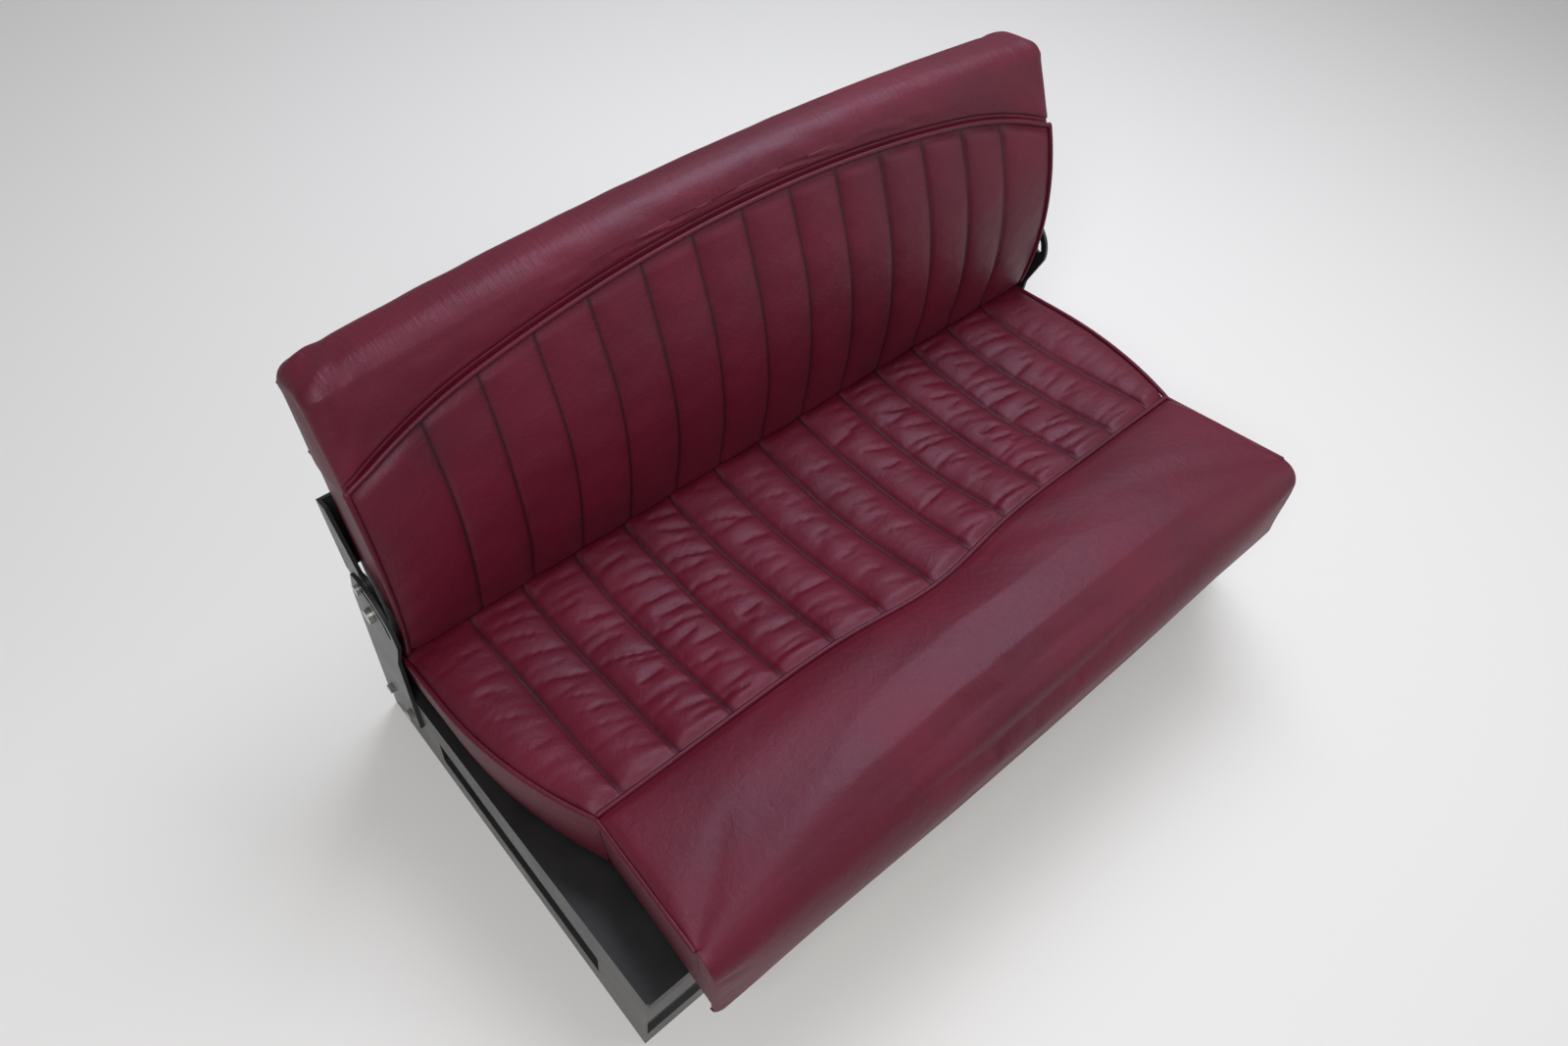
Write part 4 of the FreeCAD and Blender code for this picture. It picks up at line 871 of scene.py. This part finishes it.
LEATHER = leather_material("oxblood_leather", base=(0.10, 0.003, 0.0125),
                           dark=(0.055, 0.002, 0.008), light=(0.125, 0.006, 0.019), grain=0.45)
WELT = leather_material("oxblood_welt", base=(0.09, 0.0035, 0.012),
                        dark=(0.06, 0.002, 0.008), light=(0.115, 0.006, 0.018), grain=0.25)
BACK_CLOTH = leather_material("back_leathercloth", base=(0.07, 0.011, 0.014),
                              dark=(0.05, 0.008, 0.01), light=(0.08, 0.013, 0.016), grain=0.5)
ENAMEL = metal_material("black_enamel", (0.012, 0.012, 0.013), 0.0, 0.34, 14.0)
PLATED = metal_material("zinc_plated_steel", (0.55, 0.54, 0.50), 1.0, 0.32, 60.0)
AGED = metal_material("aged_brass", (0.30, 0.20, 0.09), 1.0, 0.42, 80.0)
PLYWOOD = plywood_material()
FINISH = {"leather": LEATHER, "piping_leather": WELT, "back_cloth": BACK_CLOTH,
          "board": PLYWOOD, "black_enamel": ENAMEL, "plated_steel": PLATED}
for part in frame["record"]["subparts"]:
    node = NODES[part["node"]]
    node.data.materials.clear()
    node.data.materials.append(FINISH[part["material_slot"]])

seat_cover()
roll_cover()
back_cover()
border_cover()
back_tacks()
piping()


# Stage, light and camera.

def stage():
    reach = 6
    look = Look("pale_floor")
    look.feed(look.shader, {"Base Color": (0.73, 0.71, 0.685, 1), "Roughness": 0.8})
    corners = [(-reach, -reach, 0), (reach, -reach, 0), (reach, reach, 0), (-reach, reach, 0)]
    floor = new_object("floor", corners, [(0, 1, 2, 3)], look.material)


def area_light(name, place, aim, size, power, colour=(1, 1, 1)):
    light = bpy.data.lights.new(name, "AREA")
    light.shape = "RECTANGLE"
    light.size, light.size_y = size
    light.energy = power
    light.color = colour
    obj = bpy.data.objects.new(name, light)
    bpy.context.scene.collection.objects.link(obj)
    obj.location = place
    obj.rotation_euler = (Vector(aim) - Vector(place)).to_track_quat("-Z", "Y").to_euler()


def camera():
    """The photograph's viewpoint, solved from its seams, with a shorter lens."""
    eye = (-0.757, -0.528, 1.519)
    right = Vector((0.7562, -0.6486, 0.0871))
    down = Vector((-0.4859, -0.6457, -0.5891))
    ahead = Vector((0.4383, 0.4032, -0.8034))
    data = bpy.data.cameras.new("camera")
    data.sensor_width = 36.0
    data.lens = 26.5
    data.shift_x, data.shift_y = 0.012, -0.0105
    obj = bpy.data.objects.new("camera", data)
    bpy.context.scene.collection.objects.link(obj)
    turn = Matrix((right, -down, -ahead)).transposed().to_4x4()
    obj.matrix_world = Matrix.Translation(eye) @ turn
    bpy.context.scene.camera = obj


stage()
area_light("key", (-1.6, -1.0, 2.6), (0, 0.1, 0.3), (1.2, 0.9), 46)
area_light("fill", (1.8, -1.6, 1.6), (0, 0, 0.3), (2.0, 2.0), 16)
area_light("sheen", (0.9, 0.7, 2.4), (0, 0.1, 0.3), (1.5, 1.5), 46, (0.88, 0.92, 1.0))
camera()

scene = bpy.context.scene
world = bpy.data.worlds.new("studio")
scene.world = world
world.use_nodes = True
world.node_tree.nodes["Background"].inputs["Color"].default_value = (0.90, 0.92, 0.96, 1)
world.node_tree.nodes["Background"].inputs["Strength"].default_value = 0.33
scene.view_settings.view_transform = "Standard"
